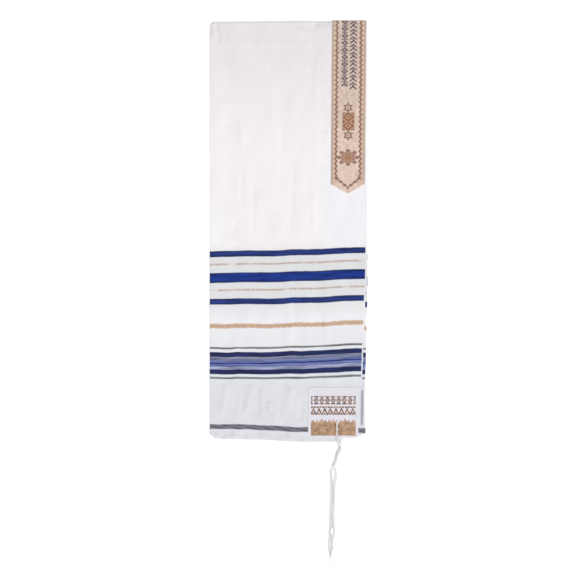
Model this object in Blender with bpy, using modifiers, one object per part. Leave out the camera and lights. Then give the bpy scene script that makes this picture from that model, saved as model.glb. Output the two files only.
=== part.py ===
"""A tallit prayer shawl, folded in four and laid flat, in metres with +Z up.

The cloth is one length, folded lengthwise along the left side and then across at the neck, which lies at the
far end (+Y). The front layer is a wall of its own that rolls over both folds. The three layers that it hides
are one solid with a layered edge. The neckband and the corner patch lie on the front layer, and the knotted
corner tassel lies on the patch and on the surface in front of the hem.
"""

import math
from collections import namedtuple

import bmesh
import bpy
from mathutils import Vector

# Driving sizes
MM = 0.001
CUT_LENGTH = 1.800
OVERALL_LENGTH = 1.178
OVERALL_WIDTH = 0.339
SEAM_GAP = 0.3 * MM
CLOTH_WALL = 1.1 * MM
BAND_WALL = 1.0 * MM
PATCH_WALL = 0.9 * MM
PILE_HEIGHT = 4.6 * MM

# The folded cloth's outline
LEFT_X = -OVERALL_WIDTH / 2
NECK_Y = OVERALL_LENGTH / 2 - SEAM_GAP - BAND_WALL
HEM_Y = NECK_Y - CUT_LENGTH / 2
CORNER_RADIUS = 9 * MM
NECK_LOFT = 2.4 * MM
NECK_ROLL = (PILE_HEIGHT + NECK_LOFT + SEAM_GAP + CLOTH_WALL) / 2
NECK_LOFT_REACH = 32 * MM
FOLD_LOFT = 1.1 * MM
FOLD_LOFT_REACH = 26 * MM
FOLD_ROLL = 1.7 * MM
FLAT_TOP_Y = NECK_Y - NECK_ROLL
FLAT_LEFT_X = LEFT_X + FOLD_ROLL
EDGE_DROOP = 0.6 * MM
HEM_WIDTH = 9 * MM
HEM_RISE = 0.5 * MM

EdgeRow = namedtuple("EdgeRow", "y front under")
RIGHT_EDGE = (
    EdgeRow(NECK_Y, 0.1668, 0.1655),
    EdgeRow(0.080, 0.1662, 0.1660),
    EdgeRow(0.020, 0.1645, 0.1695),
    EdgeRow(-0.070, 0.1610, 0.1695),
    EdgeRow(-0.180, 0.1565, 0.1680),
    EdgeRow(-0.220, 0.1535, 0.1640),
    EdgeRow(-0.330, 0.1530, 0.1645),
)

HemRow = namedtuple("HemRow", "across front under")
HEM_LINE = (
    HemRow(0.00, 0.0095, 0.0120),
    HemRow(0.03, 0.0025, 0.0060),
    HemRow(0.09, 0.0008, 0.0040),
    HemRow(0.30, -0.0010, 0.0030),
    HemRow(0.62, -0.0050, -0.0005),
    HemRow(0.85, -0.0048, -0.0020),
    HemRow(1.00, -0.0015, -0.0035),
)

# Soft folds left in the cloth: where each starts and ends, how high it stands and half of its width. A fold
# rises over the first of this share of its length and sinks over the last.
CREASE_FADE = 0.2
Crease = namedtuple("Crease", "name x0 y0 x1 y1 rise half_width")
CREASES = (
    Crease("middle", 0.000, 0.150, 0.001, -0.330, 1.2 * MM, 15 * MM),
    Crease("left", -0.114, -0.060, -0.111, -0.330, 0.9 * MM, 14 * MM),
    Crease("right", 0.084, 0.120, 0.080, -0.250, 0.8 * MM, 14 * MM),
    Crease("slant_low", -0.052, -0.195, -0.070, -0.290, 0.6 * MM, 16 * MM),
    Crease("slant_mid", 0.030, -0.200, 0.012, -0.300, 0.6 * MM, 16 * MM),
    Crease("neck", -0.150, 0.538, -0.050, 0.528, 0.5 * MM, 16 * MM),
    Crease("upper", -0.060, 0.420, -0.048, 0.230, 0.5 * MM, 18 * MM),
)

# Grid stations
FRONT_COLUMNS = 24
FRONT_ROWS = 30
ROW_CROWDING = 1.35
CORNER_STATIONS = (0.0, CORNER_RADIUS / 2, CORNER_RADIUS)
LEAST_CELL = 4 * MM
ROLL_STEPS = 8
ROLL_TURN = math.radians(155)
CORNER_TUCK = 2.4 * MM

# The neckband
BAND_LEFT_NECK = 0.0945
BAND_LEFT_POINT = 0.0915
BAND_WIDTH = 0.0720
BAND_SHOULDER_Y = 0.2365
BAND_POINT_DEPTH = 0.0200
BAND_COLUMNS = 6
BAND_ROWS = 18
BAND_ROLL_TURN = math.radians(118)

# The corner patch
PATCH_LEFT = 0.0425
PATCH_WIDTH = 0.1070
PATCH_TOP = -0.2010
PATCH_HEIGHT = 0.1080
PATCH_CELLS = 9

# The corner tassel
EYELET = (0.1045, -0.2750)
STRAND_WIDTH = 1.7 * MM
STRAND_PITCH = 2.2 * MM
ROOT_PITCH = 0.6 * MM
UPPER_LIFT = 2.1 * MM
FLOOR_CLEARANCE = 0.35 * MM
STRAND_SIDES_TURN = math.radians(45)
WELD_WITHIN = 0.01 * MM

HeadRow = namedtuple("HeadRow", "name x y thick on_cloth")
TASSEL_HEAD = (
    HeadRow("eyelet", 0.1045, -0.2750, 3.4 * MM, 1.0),
    HeadRow("patch", 0.1045, -0.2900, 3.0 * MM, 1.0),
    HeadRow("patch_edge", 0.1052, -0.3060, 3.0 * MM, 1.0),
    HeadRow("hem", 0.1072, -0.3165, 3.2 * MM, 1.0),
    HeadRow("drop", 0.1092, -0.3235, 4.0 * MM, 0.32),
    HeadRow("knot_1", 0.1105, -0.3290, 8.6 * MM, 0.0),
    HeadRow("knot_1_end", 0.1098, -0.3345, 5.4 * MM, 0.0),
    HeadRow("winding_1", 0.1070, -0.3420, 5.6 * MM, 0.0),
    HeadRow("knot_2", 0.1056, -0.3450, 6.8 * MM, 0.0),
    HeadRow("winding_2", 0.1040, -0.3485, 5.6 * MM, 0.0),
    HeadRow("winding_2_end", 0.1018, -0.3560, 5.4 * MM, 0.0),
    HeadRow("knot_3", 0.1005, -0.3595, 6.8 * MM, 0.0),
    HeadRow("knot_3_end", 0.0990, -0.3635, 5.6 * MM, 0.0),
    HeadRow("knot_4", 0.0975, -0.3680, 7.6 * MM, 0.0),
    HeadRow("end", 0.0966, -0.3715, 5.0 * MM, 0.0),
)

# How the loose strands spread: their middle, the width of the eye between the two groups, and how far they fan out
SpreadRow = namedtuple("SpreadRow", "y middle eye fan")
SPREAD = (
    SpreadRow(-0.372, 0.0966, 0.0000, 0.80),
    SpreadRow(-0.384, 0.0964, 0.0060, 1.00),
    SpreadRow(-0.397, 0.0966, 0.0030, 1.00),
    SpreadRow(-0.412, 0.0960, 0.0004, 1.00),
    SpreadRow(-0.465, 0.0942, 0.0000, 1.00),
    SpreadRow(-0.500, 0.0936, 0.0006, 1.00),
    SpreadRow(-0.512, 0.0936, 0.0034, 1.00),
    SpreadRow(-0.524, 0.0930, 0.0010, 1.05),
    SpreadRow(-0.542, 0.0915, 0.0006, 1.25),
    SpreadRow(-0.560, 0.0900, 0.0000, 1.00),
    SpreadRow(-0.589, 0.0912, 0.0000, 1.00),
)

# Each strand's lane from the middle, its level, where it ends and how it sways
Strand = namedtuple("Strand", "lane level end_y sway phase")
STRANDS = (
    Strand(-2.0, 0, -0.5480, 0.25 * MM, 0.4),
    Strand(-1.0, 0, -0.5660, 0.20 * MM, 1.7),
    Strand(0.0, 0, -0.5890, 0.20 * MM, 2.9),
    Strand(1.0, 0, -0.5600, 0.20 * MM, 4.1),
    Strand(2.0, 0, -0.5440, 0.25 * MM, 5.3),
    Strand(-1.0, 1, -0.5560, 0.45 * MM, 3.3),
    Strand(0.0, 1, -0.5780, 0.40 * MM, 0.9),
    Strand(1.0, 1, -0.5500, 0.45 * MM, 2.2),
)
STRAND_POINTS = 22
SWAY_LENGTH = 0.060

# How the hidden layers' side goes in and out from the surface up: an inset in millimetres and a share of the height
SideRow = namedtuple("SideRow", "open_inset open_level fold_inset fold_level neck_inset neck_level")
SIDE = (
    SideRow(0.6, 0.00, 1.6, 0.00, 4.6, 0.00),
    SideRow(0.0, 0.07, 0.5, 0.07, 4.4, 0.08),
    SideRow(0.0, 0.26, 0.0, 0.20, 4.0, 0.20),
    SideRow(2.6, 0.33, 0.0, 0.32, 2.5, 0.33),
    SideRow(1.0, 0.40, 0.6, 0.42, 1.9, 0.45),
    SideRow(1.0, 0.59, 1.6, 0.47, 1.7, 0.58),
    SideRow(2.6, 0.66, 3.4, 0.51, 1.9, 0.72),
    SideRow(0.0, 0.73, 3.4, 0.66, 2.5, 0.85),
    SideRow(0.0, 0.93, 3.4, 0.84, 3.3, 0.95),
    SideRow(0.6, 1.00, 3.9, 1.00, 4.6, 1.00),
)


def ease(share):
    """A smooth step from 0 to 1."""
    share = min(1.0, max(0.0, share))
    return share * share * (3 - 2 * share)


def read_table(table, key, value, at):
    """The value column of a table at a place in its key column, eased between the rows."""
    rows = sorted(table, key=lambda row: getattr(row, key))
    if at <= getattr(rows[0], key):
        return getattr(rows[0], value)
    for low, high in zip(rows, rows[1:]):
        if at <= getattr(high, key):
            share = (at - getattr(low, key)) / (getattr(high, key) - getattr(low, key))
            return getattr(low, value) + ease(share) * (getattr(high, value) - getattr(low, value))
    return getattr(rows[-1], value)


def right_edge(y, layer="front"):
    """The right-hand edge of the front layer, or of the layers under it."""
    return read_table(RIGHT_EDGE, "y", layer, y)


def hem_line(across, layer="front"):
    """The hem's place in y, for a share of the way across from the left fold."""
    return HEM_Y + read_table(HEM_LINE, "across", layer, across)


def crease_rise(x, y):
    """How far the soft folds lift the cloth at a point."""
    rise = 0.0
    for crease in CREASES:
        start = Vector((crease.x0, crease.y0))
        along = Vector((crease.x1, crease.y1)) - start
        share = (Vector((x, y)) - start).dot(along) / along.length_squared
        nearest = start + along * min(1.0, max(0.0, share))
        away = (Vector((x, y)) - nearest).length / crease.half_width
        if away < 1:
            fade = ease(share / CREASE_FADE) * ease((1 - share) / CREASE_FADE)
            rise += crease.rise * fade * (1 + math.cos(math.pi * away)) / 2
    return rise


def pile_height(x, y):
    """The height of the hidden layers' upper face: it is fuller at the two folds."""
    at_neck = math.exp(-max(0.0, NECK_Y - y) / NECK_LOFT_REACH)
    at_fold = math.exp(-max(0.0, x - LEFT_X) / FOLD_LOFT_REACH)
    return PILE_HEIGHT + NECK_LOFT * at_neck + FOLD_LOFT * at_fold * (1 - at_neck) + crease_rise(x, y)


def front_height(x, y):
    """The height of the front layer's outer face."""
    return pile_height(x, y) + SEAM_GAP + CLOTH_WALL


def column_stations():
    """Distances across from the flat's left end, as shares of its width: close together at the corner."""
    width = right_edge(0.0) - FLAT_LEFT_X
    near = [step / width for step in CORNER_STATIONS]
    first = next(i for i in range(FRONT_COLUMNS) if i / FRONT_COLUMNS > near[-1] + LEAST_CELL / width)
    return near + [i / FRONT_COLUMNS for i in range(first, FRONT_COLUMNS + 1)]


def row_stations():
    """Distances down from the flat's far end, as shares of its length: closer together near the neck."""
    length = FLAT_TOP_Y - HEM_Y
    near = [step / length for step in CORNER_STATIONS]
    spaced = [(j / FRONT_ROWS) ** ROW_CROWDING for j in range(FRONT_ROWS + 1)]
    first = next(j for j, share in enumerate(spaced) if share > near[-1] + LEAST_CELL / length)
    return near + spaced[first:-1] + [1 - HEM_WIDTH / length, 1.0]


COLUMNS = column_stations()
ROWS = row_stations()


def flat_point(across, down, layer="front"):
    """The plan position of a point of the flat cloth, from its shares across and down."""
    y = FLAT_TOP_Y + down * (hem_line(across, layer) - FLAT_TOP_Y)
    return FLAT_LEFT_X + across * (right_edge(y, layer) - FLAT_LEFT_X), y


def station_height(i, j):
    """The front layer's outer face at a grid station, with the turned hem standing up a little."""
    x, y = flat_point(COLUMNS[i], ROWS[j])
    return front_height(x, y) + (HEM_RISE if j >= len(ROWS) - 2 else 0.0)


def cloth_height(x, y):
    """The front layer's outer face at any point, on the straight faces between the grid's stations."""
    across = (x - FLAT_LEFT_X) / (right_edge(y) - FLAT_LEFT_X)
    down = (FLAT_TOP_Y - y) / (FLAT_TOP_Y - hem_line(across))
    i = max(k for k in range(len(COLUMNS) - 1) if COLUMNS[k] <= max(0.0, across))
    j = max(k for k in range(len(ROWS) - 1) if ROWS[k] <= max(0.0, down))
    u = min(1.0, max(0.0, (across - COLUMNS[i]) / (COLUMNS[i + 1] - COLUMNS[i])))
    v = min(1.0, max(0.0, (down - ROWS[j]) / (ROWS[j + 1] - ROWS[j])))
    near = station_height(i, j) * (1 - u) + station_height(i + 1, j) * u
    far = station_height(i, j + 1) * (1 - u) + station_height(i + 1, j + 1) * u
    return near * (1 - v) + far * v


def fold_outline(i, j):
    """The outermost plan point of the folds at a border station, its outward direction, and the neck's share.

    The border runs up the left side (i is 0) and along the neck (j is 0), round the corner between them.
    """
    from_corner = max(COLUMNS[i] * (right_edge(0.0) - FLAT_LEFT_X), ROWS[j] * (FLAT_TOP_Y - HEM_Y))
    turn = math.radians(45) * min(1.0, from_corner / CORNER_RADIUS)
    angle = math.radians(45) + (turn if j == 0 else -turn)
    outward = Vector((-math.cos(angle), math.sin(angle)))
    centre = Vector((LEFT_X + CORNER_RADIUS, NECK_Y - CORNER_RADIUS))
    point = centre + outward * CORNER_RADIUS
    if from_corner > CORNER_RADIUS:
        x, y = flat_point(COLUMNS[i], ROWS[j])
        point = Vector((x, NECK_Y)) if j == 0 else Vector((LEFT_X, y))
    return point, outward, ease(math.sin(angle) ** 2)


def border_stations(columns, rows):
    """The border stations of the two folds, from the hem's left end up to the corner and along to the right."""
    left = [(0, j) for j in range(rows - 1, 0, -1)]
    return left + [(i, 0) for i in range(columns)]


def roll_radius(i, j):
    """The radius of the roll over the fold at a border station."""
    return FOLD_ROLL + (NECK_ROLL - FOLD_ROLL) * fold_outline(i, j)[2]


def roll_point(i, j, angle, lift=0.0):
    """A point of the roll over the folds: angle 0 is the upper end, and lift moves it outwards."""
    point, outward, _ = fold_outline(i, j)
    radius = roll_radius(i, j)
    inward = point - outward * radius
    top = front_height(inward.x, inward.y)
    plan = inward + outward * (radius + lift) * math.sin(angle)
    return Vector((plan.x, plan.y, top - radius + (radius + lift) * math.cos(angle)))


def material(name, colour, roughness, metallic=0.0):
    """A Principled BSDF of one colour."""
    made = bpy.data.materials.new(name)
    made.use_nodes = True
    shader = made.node_tree.nodes["Principled BSDF"]
    shader.inputs["Base Color"].default_value = (*colour, 1.0)
    shader.inputs["Roughness"].default_value = roughness
    shader.inputs["Metallic"].default_value = metallic
    return made


def mesh_object(name, points, faces, collection, finish):
    """An object from points and faces, with its faces turned the same way."""
    mesh = bpy.data.meshes.new(name)
    mesh.from_pydata([tuple(point) for point in points], [], faces)
    work = bmesh.new()
    work.from_mesh(mesh)
    bmesh.ops.recalc_face_normals(work, faces=work.faces)
    work.to_mesh(mesh)
    work.free()
    mesh.materials.append(finish)
    made = bpy.data.objects.new(name, mesh)
    collection.objects.link(made)
    return made


def thicken(sheet, wall, offset):
    """A Solidify modifier: offset -1 puts the wall under the modelled face, and 1 above it."""
    solid = sheet.modifiers.new("wall", "SOLIDIFY")
    solid.thickness = wall
    solid.offset = offset
    solid.use_even_offset = True


def face_upwards(sheet):
    """Turns an open sheet's faces so that most of them look up."""
    mesh = sheet.data
    if sum(face.normal.z * face.area for face in mesh.polygons) < 0:
        mesh.flip_normals()


def grid_faces(columns, rows, first=0):
    """Quads over a grid whose points are stored row by row."""
    faces = []
    for j in range(rows - 1):
        for i in range(columns - 1):
            corner = first + j * columns + i
            faces.append((corner, corner + 1, corner + columns + 1, corner + columns))
    return faces


def build_front_layer(collection, finish):
    """The layer that shows: the flat cloth, rolled over the left fold and over the neck fold."""
    columns, rows = len(COLUMNS), len(ROWS)
    points = []
    for j in range(rows):
        for i in range(columns):
            if i == 0 or j == 0:
                points.append(roll_point(i, j, 0.0))
            else:
                x, y = flat_point(COLUMNS[i], ROWS[j])
                points.append(Vector((x, y, station_height(i, j))))
    faces = grid_faces(columns, rows)
    border = border_stations(columns, rows)
    previous = [j * columns + i for i, j in border]
    for step in range(1, ROLL_STEPS + 1):
        ring = []
        for i, j in border:
            ring.append(len(points))
            points.append(roll_point(i, j, ROLL_TURN * step / ROLL_STEPS))
        for k in range(len(border) - 1):
            faces.append((previous[k], previous[k + 1], ring[k + 1], ring[k]))
        previous = ring
    layer = mesh_object("front_layer", points, faces, collection, finish)
    face_upwards(layer)
    thicken(layer, CLOTH_WALL, -1)


def side_ring(row, columns, rows):
    """One ring of the hidden layers' side: in at the grooves, out at each layer."""
    ring = []
    for i, j in border_stations(columns, rows):
        point, outward, neck = fold_outline(i, j)
        tuck = CORNER_TUCK * 4 * neck * (1 - neck)
        inset = (row.fold_inset + (row.neck_inset - row.fold_inset) * neck) * MM + tuck
        level = row.fold_level + (row.neck_level - row.fold_level) * neck
        plan = point - outward * inset
        ring.append(Vector((plan.x, plan.y, level * (pile_height(plan.x, plan.y) - EDGE_DROOP))))
    inset = row.open_inset * MM
    for j in range(1, rows):
        x, y = flat_point(1.0, ROWS[j], "under")
        corner = j == rows - 1
        plan = Vector((x - inset, y + (inset if corner else 0.0)))
        ring.append(Vector((plan.x, plan.y, row.open_level * (pile_height(x, y) - EDGE_DROOP))))
    for i in range(columns - 2, 0, -1):
        x, y = flat_point(COLUMNS[i], 1.0, "under")
        ring.append(Vector((x, y + inset, row.open_level * (pile_height(x, y) - EDGE_DROOP))))
    return ring


def build_folded_layers(collection, finish):
    """The three layers that the front one hides, as one solid with its layers showing round the edge."""
    columns, rows = len(COLUMNS), len(ROWS)
    rings = [side_ring(row, columns, rows) for row in SIDE]
    count = len(rings[0])
    points = [point for ring in rings for point in ring]
    faces = [tuple(reversed(range(count)))]
    for k in range(len(rings) - 1):
        for n in range(count):
            after = (n + 1) % count
            faces.append((k * count + n, k * count + after, (k + 1) * count + after, (k + 1) * count + n))
    top = (len(rings) - 1) * count
    border = border_stations(columns, rows)
    right = [(columns - 1, j) for j in range(1, rows)]
    hem = [(i, rows - 1) for i in range(columns - 2, 0, -1)]
    index = {station: top + n for n, station in enumerate(border + right + hem)}
    for j in range(1, rows - 1):
        for i in range(1, columns - 1):
            x, y = flat_point(COLUMNS[i], ROWS[j])
            index[(i, j)] = len(points)
            points.append(Vector((x, y, pile_height(x, y))))
    for j in range(rows - 1):
        for i in range(columns - 1):
            faces.append((index[(i, j)], index[(i + 1, j)], index[(i + 1, j + 1)], index[(i, j + 1)]))
    mesh_object("folded_layers", points, faces, collection, finish)


def band_left(y):
    """The neckband's left-hand edge, which leans a little."""
    share = (NECK_Y - y) / (NECK_Y - BAND_SHOULDER_Y)
    return BAND_LEFT_NECK + share * (BAND_LEFT_POINT - BAND_LEFT_NECK)


def band_point(across, down):
    """A point on the neckband's underside, down from the neck roll (0) to the shoulder line (1) and the point."""
    end = BAND_SHOULDER_Y - BAND_POINT_DEPTH * (1 - abs(2 * across - 1))
    y = FLAT_TOP_Y + down * (end - FLAT_TOP_Y)
    x = band_left(y) + across * BAND_WIDTH
    return Vector((x, y, cloth_height(x, y) + SEAM_GAP))


def build_neckband(collection, finish):
    """The neckband, from its pointed end up the front layer and round the neck fold."""
    points = []
    for step in range(ROLL_STEPS, 0, -1):
        angle = BAND_ROLL_TURN * step / ROLL_STEPS
        for i in range(BAND_COLUMNS + 1):
            x = band_left(FLAT_TOP_Y) + BAND_WIDTH * i / BAND_COLUMNS
            top = cloth_height(x, FLAT_TOP_Y)
            out = NECK_ROLL + SEAM_GAP
            points.append(Vector((x, FLAT_TOP_Y + out * math.sin(angle), top - NECK_ROLL + out * math.cos(angle))))
    for j in range(BAND_ROWS + 1):
        down = (j / BAND_ROWS) ** ROW_CROWDING
        points.extend(band_point(i / BAND_COLUMNS, down) for i in range(BAND_COLUMNS + 1))
    faces = grid_faces(BAND_COLUMNS + 1, ROLL_STEPS + BAND_ROWS + 1)
    band = mesh_object("neckband", points, faces, collection, finish)
    face_upwards(band)
    thicken(band, BAND_WALL, 1)


def patch_height(x, y):
    """The patch's outer face."""
    return cloth_height(x, y) + SEAM_GAP + PATCH_WALL


def build_corner_patch(collection, finish):
    """The square patch at the hem's right-hand corner, laid on the front layer."""
    points = []
    for j in range(PATCH_CELLS + 1):
        for i in range(PATCH_CELLS + 1):
            x = PATCH_LEFT + PATCH_WIDTH * i / PATCH_CELLS
            y = PATCH_TOP - PATCH_HEIGHT * j / PATCH_CELLS
            points.append(Vector((x, y, cloth_height(x, y) + SEAM_GAP)))
    patch = mesh_object("corner_patch", points, grid_faces(PATCH_CELLS + 1, PATCH_CELLS + 1), collection, finish)
    face_upwards(patch)
    thicken(patch, PATCH_WALL, 1)


def tube(name, path, radii, resolution, tilt=0.0):
    """A closed tube along a path, as a mesh object that isn't in a collection yet."""
    curve = bpy.data.curves.new(name, "CURVE")
    curve.dimensions = "3D"
    curve.bevel_depth = 1.0
    curve.bevel_resolution = resolution
    curve.use_fill_caps = True
    spline = curve.splines.new("POLY")
    spline.points.add(len(path) - 1)
    for point, place, radius in zip(spline.points, path, radii):
        point.co = (*place, 1.0)
        point.radius = radius
        point.tilt = tilt
    guide = bpy.data.objects.new(name + "_guide", curve)
    bpy.context.scene.collection.objects.link(guide)
    bpy.context.view_layer.update()
    mesh = bpy.data.meshes.new_from_object(guide.evaluated_get(bpy.context.evaluated_depsgraph_get()))
    work = bmesh.new()
    work.from_mesh(mesh)
    bmesh.ops.remove_doubles(work, verts=work.verts, dist=WELD_WITHIN)
    bmesh.ops.recalc_face_normals(work, faces=work.faces)
    work.to_mesh(mesh)
    work.free()
    made = bpy.data.objects.new(name, mesh)
    made.matrix_world = guide.matrix_world
    bpy.data.objects.remove(guide)
    return made


def head_path():
    """The middle line and radii of the tassel's cords, knots and windings."""
    path, radii = [], []
    for row in TASSEL_HEAD:
        radius = row.thick / 2
        lying = FLOOR_CLEARANCE + radius
        resting = patch_height(row.x, row.y) + SEAM_GAP + radius if row.on_cloth else lying
        path.append(Vector((row.x, row.y, lying + row.on_cloth * (resting - lying))))
        radii.append(radius)
    return path, radii


def strand_path(strand):
    """The middle line of one loose strand, from its root in the last knot to its end."""
    root = TASSEL_HEAD[-2]
    lying = FLOOR_CLEARANCE + STRAND_WIDTH / 2
    level = lying + strand.level * UPPER_LIFT
    root_height = FLOOR_CLEARANCE + root.thick / 2 + (strand.level - 0.5) * ROOT_PITCH
    path = [Vector((root.x + strand.lane * ROOT_PITCH, root.y + strand.level * ROOT_PITCH, root_height))]
    start = SPREAD[0].y
    for n in range(STRAND_POINTS):
        y = start + (strand.end_y - start) * n / (STRAND_POINTS - 1)
        side = math.copysign(0.5, strand.lane) if strand.lane else 0.0
        eye = read_table(SPREAD, "y", "eye", y) * side
        lane = strand.lane * STRAND_PITCH * read_table(SPREAD, "y", "fan", y)
        sway = strand.sway * math.sin(2 * math.pi * (y - start) / SWAY_LENGTH + strand.phase)
        path.append(Vector((read_table(SPREAD, "y", "middle", y) + lane + eye + sway, y, level)))
    return path


def build_tassel(collection, cutters, finish):
    """The corner tassel: cords over the patch, knots and windings, and eight strands fused at their roots."""
    path, radii = head_path()
    tassel = tube("tassel", path, radii, 2)
    tassel.data.materials.append(finish)
    collection.objects.link(tassel)
    for number, strand in enumerate(STRANDS, 1):
        line = strand_path(strand)
        width = [STRAND_WIDTH / 2 * math.sqrt(2)] * len(line)
        piece = tube(f"strand_{number}", line, width, 0, STRAND_SIDES_TURN)
        piece.hide_render = True
        piece.display_type = "WIRE"
        cutters.objects.link(piece)
        union = tassel.modifiers.new(piece.name, "BOOLEAN")
        union.operation = "UNION"
        union.object = piece


def main():
    """Builds the shawl."""
    for existing in list(bpy.data.objects):
        bpy.data.objects.remove(existing)
    shawl = bpy.data.collections.new("folded_prayer_shawl")
    cutters = bpy.data.collections.new("cutters")
    for collection in (shawl, cutters):
        bpy.context.scene.collection.children.link(collection)
    cloth = material("white_cloth", (0.86, 0.85, 0.86), 0.85)
    inner_cloth = material("inner_cloth", (0.82, 0.82, 0.84), 0.85)
    brocade = material("beige_brocade", (0.70, 0.56, 0.48), 0.60)
    satin = material("patch_satin", (0.80, 0.74, 0.70), 0.55)
    wool = material("tassel_wool", (0.83, 0.83, 0.84), 0.90)
    build_folded_layers(shawl, inner_cloth)
    build_front_layer(shawl, cloth)
    build_neckband(shawl, brocade)
    build_corner_patch(shawl, satin)
    build_tassel(shawl, cutters, wool)


main()
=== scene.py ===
"""The looks of a tallit prayer shawl that is folded in four and laid flat.

The front layer is a fine sheet with its woven stripes, its soft folds and its hem. The layers under it show
round the edge. A brocade neckband runs up the right side and over the neck fold, and a satin patch with a
knotted tassel of twisted cords lies at the lower right corner. Everything is in metres, +Z up.
"""

import logging
import math
from collections.abc import Sequence
from dataclasses import dataclass
from enum import Enum
from typing import Any, NamedTuple, TypeVar

import bpy
import numpy as np
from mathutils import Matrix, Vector


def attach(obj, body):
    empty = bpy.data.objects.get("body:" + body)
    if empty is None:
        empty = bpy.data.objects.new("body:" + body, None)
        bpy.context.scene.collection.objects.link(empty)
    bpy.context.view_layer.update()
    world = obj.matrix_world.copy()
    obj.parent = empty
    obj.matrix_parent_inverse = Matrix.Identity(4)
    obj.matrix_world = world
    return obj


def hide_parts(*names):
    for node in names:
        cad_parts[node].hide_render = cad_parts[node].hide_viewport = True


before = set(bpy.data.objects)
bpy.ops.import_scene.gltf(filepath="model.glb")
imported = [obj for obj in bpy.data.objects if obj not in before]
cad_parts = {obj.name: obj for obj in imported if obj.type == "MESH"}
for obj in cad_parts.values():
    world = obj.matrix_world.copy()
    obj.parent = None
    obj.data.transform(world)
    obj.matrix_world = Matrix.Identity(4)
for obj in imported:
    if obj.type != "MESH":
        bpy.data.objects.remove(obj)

MM = 0.001
BODY = "root"
SEAM_GAP = 0.3 * MM
FLOOR_GAP = 0.1 * MM
RIM_STEPS = 4
CLOTH_UV = "cloth"
LIGHT_LEVEL = 1.147
LOG = logging.getLogger("prayer_shawl")
SOCKET_KINDS = {float: "NodeSocketFloat", int: "NodeSocketInt", type(None): "NodeSocketMaterial"}

Colour = tuple[float, float, float]
Row = TypeVar("Row")


def base_colour(colour: Colour) -> tuple[float, ...]:
    """The base colour that a finish needs to be seen as a given colour in this scene's light.

    Args:
        colour: The red, green and blue parts that are seen, from 0 to 255.

    Returns:
        The linear parts, from 0 to 1.
    """
    parts = [part / 255 for part in colour]
    linear = [part / 12.92 if part <= 0.04045 else ((part + 0.055) / 1.055) ** 2.4 for part in parts]
    return tuple(part / LIGHT_LEVEL for part in linear)


def ease(share: Any) -> Any:
    """A smooth step from 0 to 1, for a share or an array of shares, each clipped to 0 and 1."""
    share = np.clip(share, 0.0, 1.0)
    return share * share * (3 - 2 * share)


def eased_table(rows: Sequence[Any], key: str, value: str, at: Any) -> Any:
    """Reads a column of a table at a place in another column, eased between its rows.

    Args:
        rows: The table's rows, in any order.
        key: The name of the column that the place is in.
        value: The name of the column to read.
        at: The place or places.

    Returns:
        The value or values there.
    """
    keys, values = (np.array([getattr(row, name) for row in rows]) for name in (key, value))
    order = np.argsort(keys)
    keys, values = keys[order], values[order]
    at = np.clip(at, keys[0], keys[-1])
    high = np.clip(np.searchsorted(keys, at), 1, len(keys) - 1)
    share = (at - keys[high - 1]) / (keys[high] - keys[high - 1])
    return values[high - 1] + ease(share) * (values[high] - values[high - 1])


def unit(vectors: np.ndarray) -> np.ndarray:
    """The directions of some vectors, one a row."""
    return vectors / np.maximum(np.linalg.norm(vectors, axis=1, keepdims=True), 1e-12)


def table(kind: type[Row], *rows: tuple[Any, ...]) -> tuple[Row, ...]:
    """A table's rows, each made from its plain values."""
    return tuple(kind(*row) for row in rows)


class Layer(Enum):
    """Which cloth an edge belongs to, by its column in the tables of edges."""

    FRONT = "front"
    UNDER = "under"


class EdgeRow(NamedTuple):
    """Both right-hand edges at one place along the strip, and the front one's selvedge, in millimetres."""

    y: float
    front: float
    under: float
    selvedge: float


class HemRow(NamedTuple):
    """The hems at a share of the way across, in millimetres up from the cut's nominal end."""

    across: float
    front: float
    under: float


class Crease(NamedTuple):
    """A soft fold from one point to another, with its rise and half of its width, in millimetres."""

    x0: float
    y0: float
    x1: float
    y1: float
    rise: float
    half_width: float


class LiftRow(NamedTuple):
    """How far the weft has slipped up the strip at one place across it, at four heights, in millimetres."""

    x: float
    upper: float
    middle: float
    lower: float
    hem: float


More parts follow.
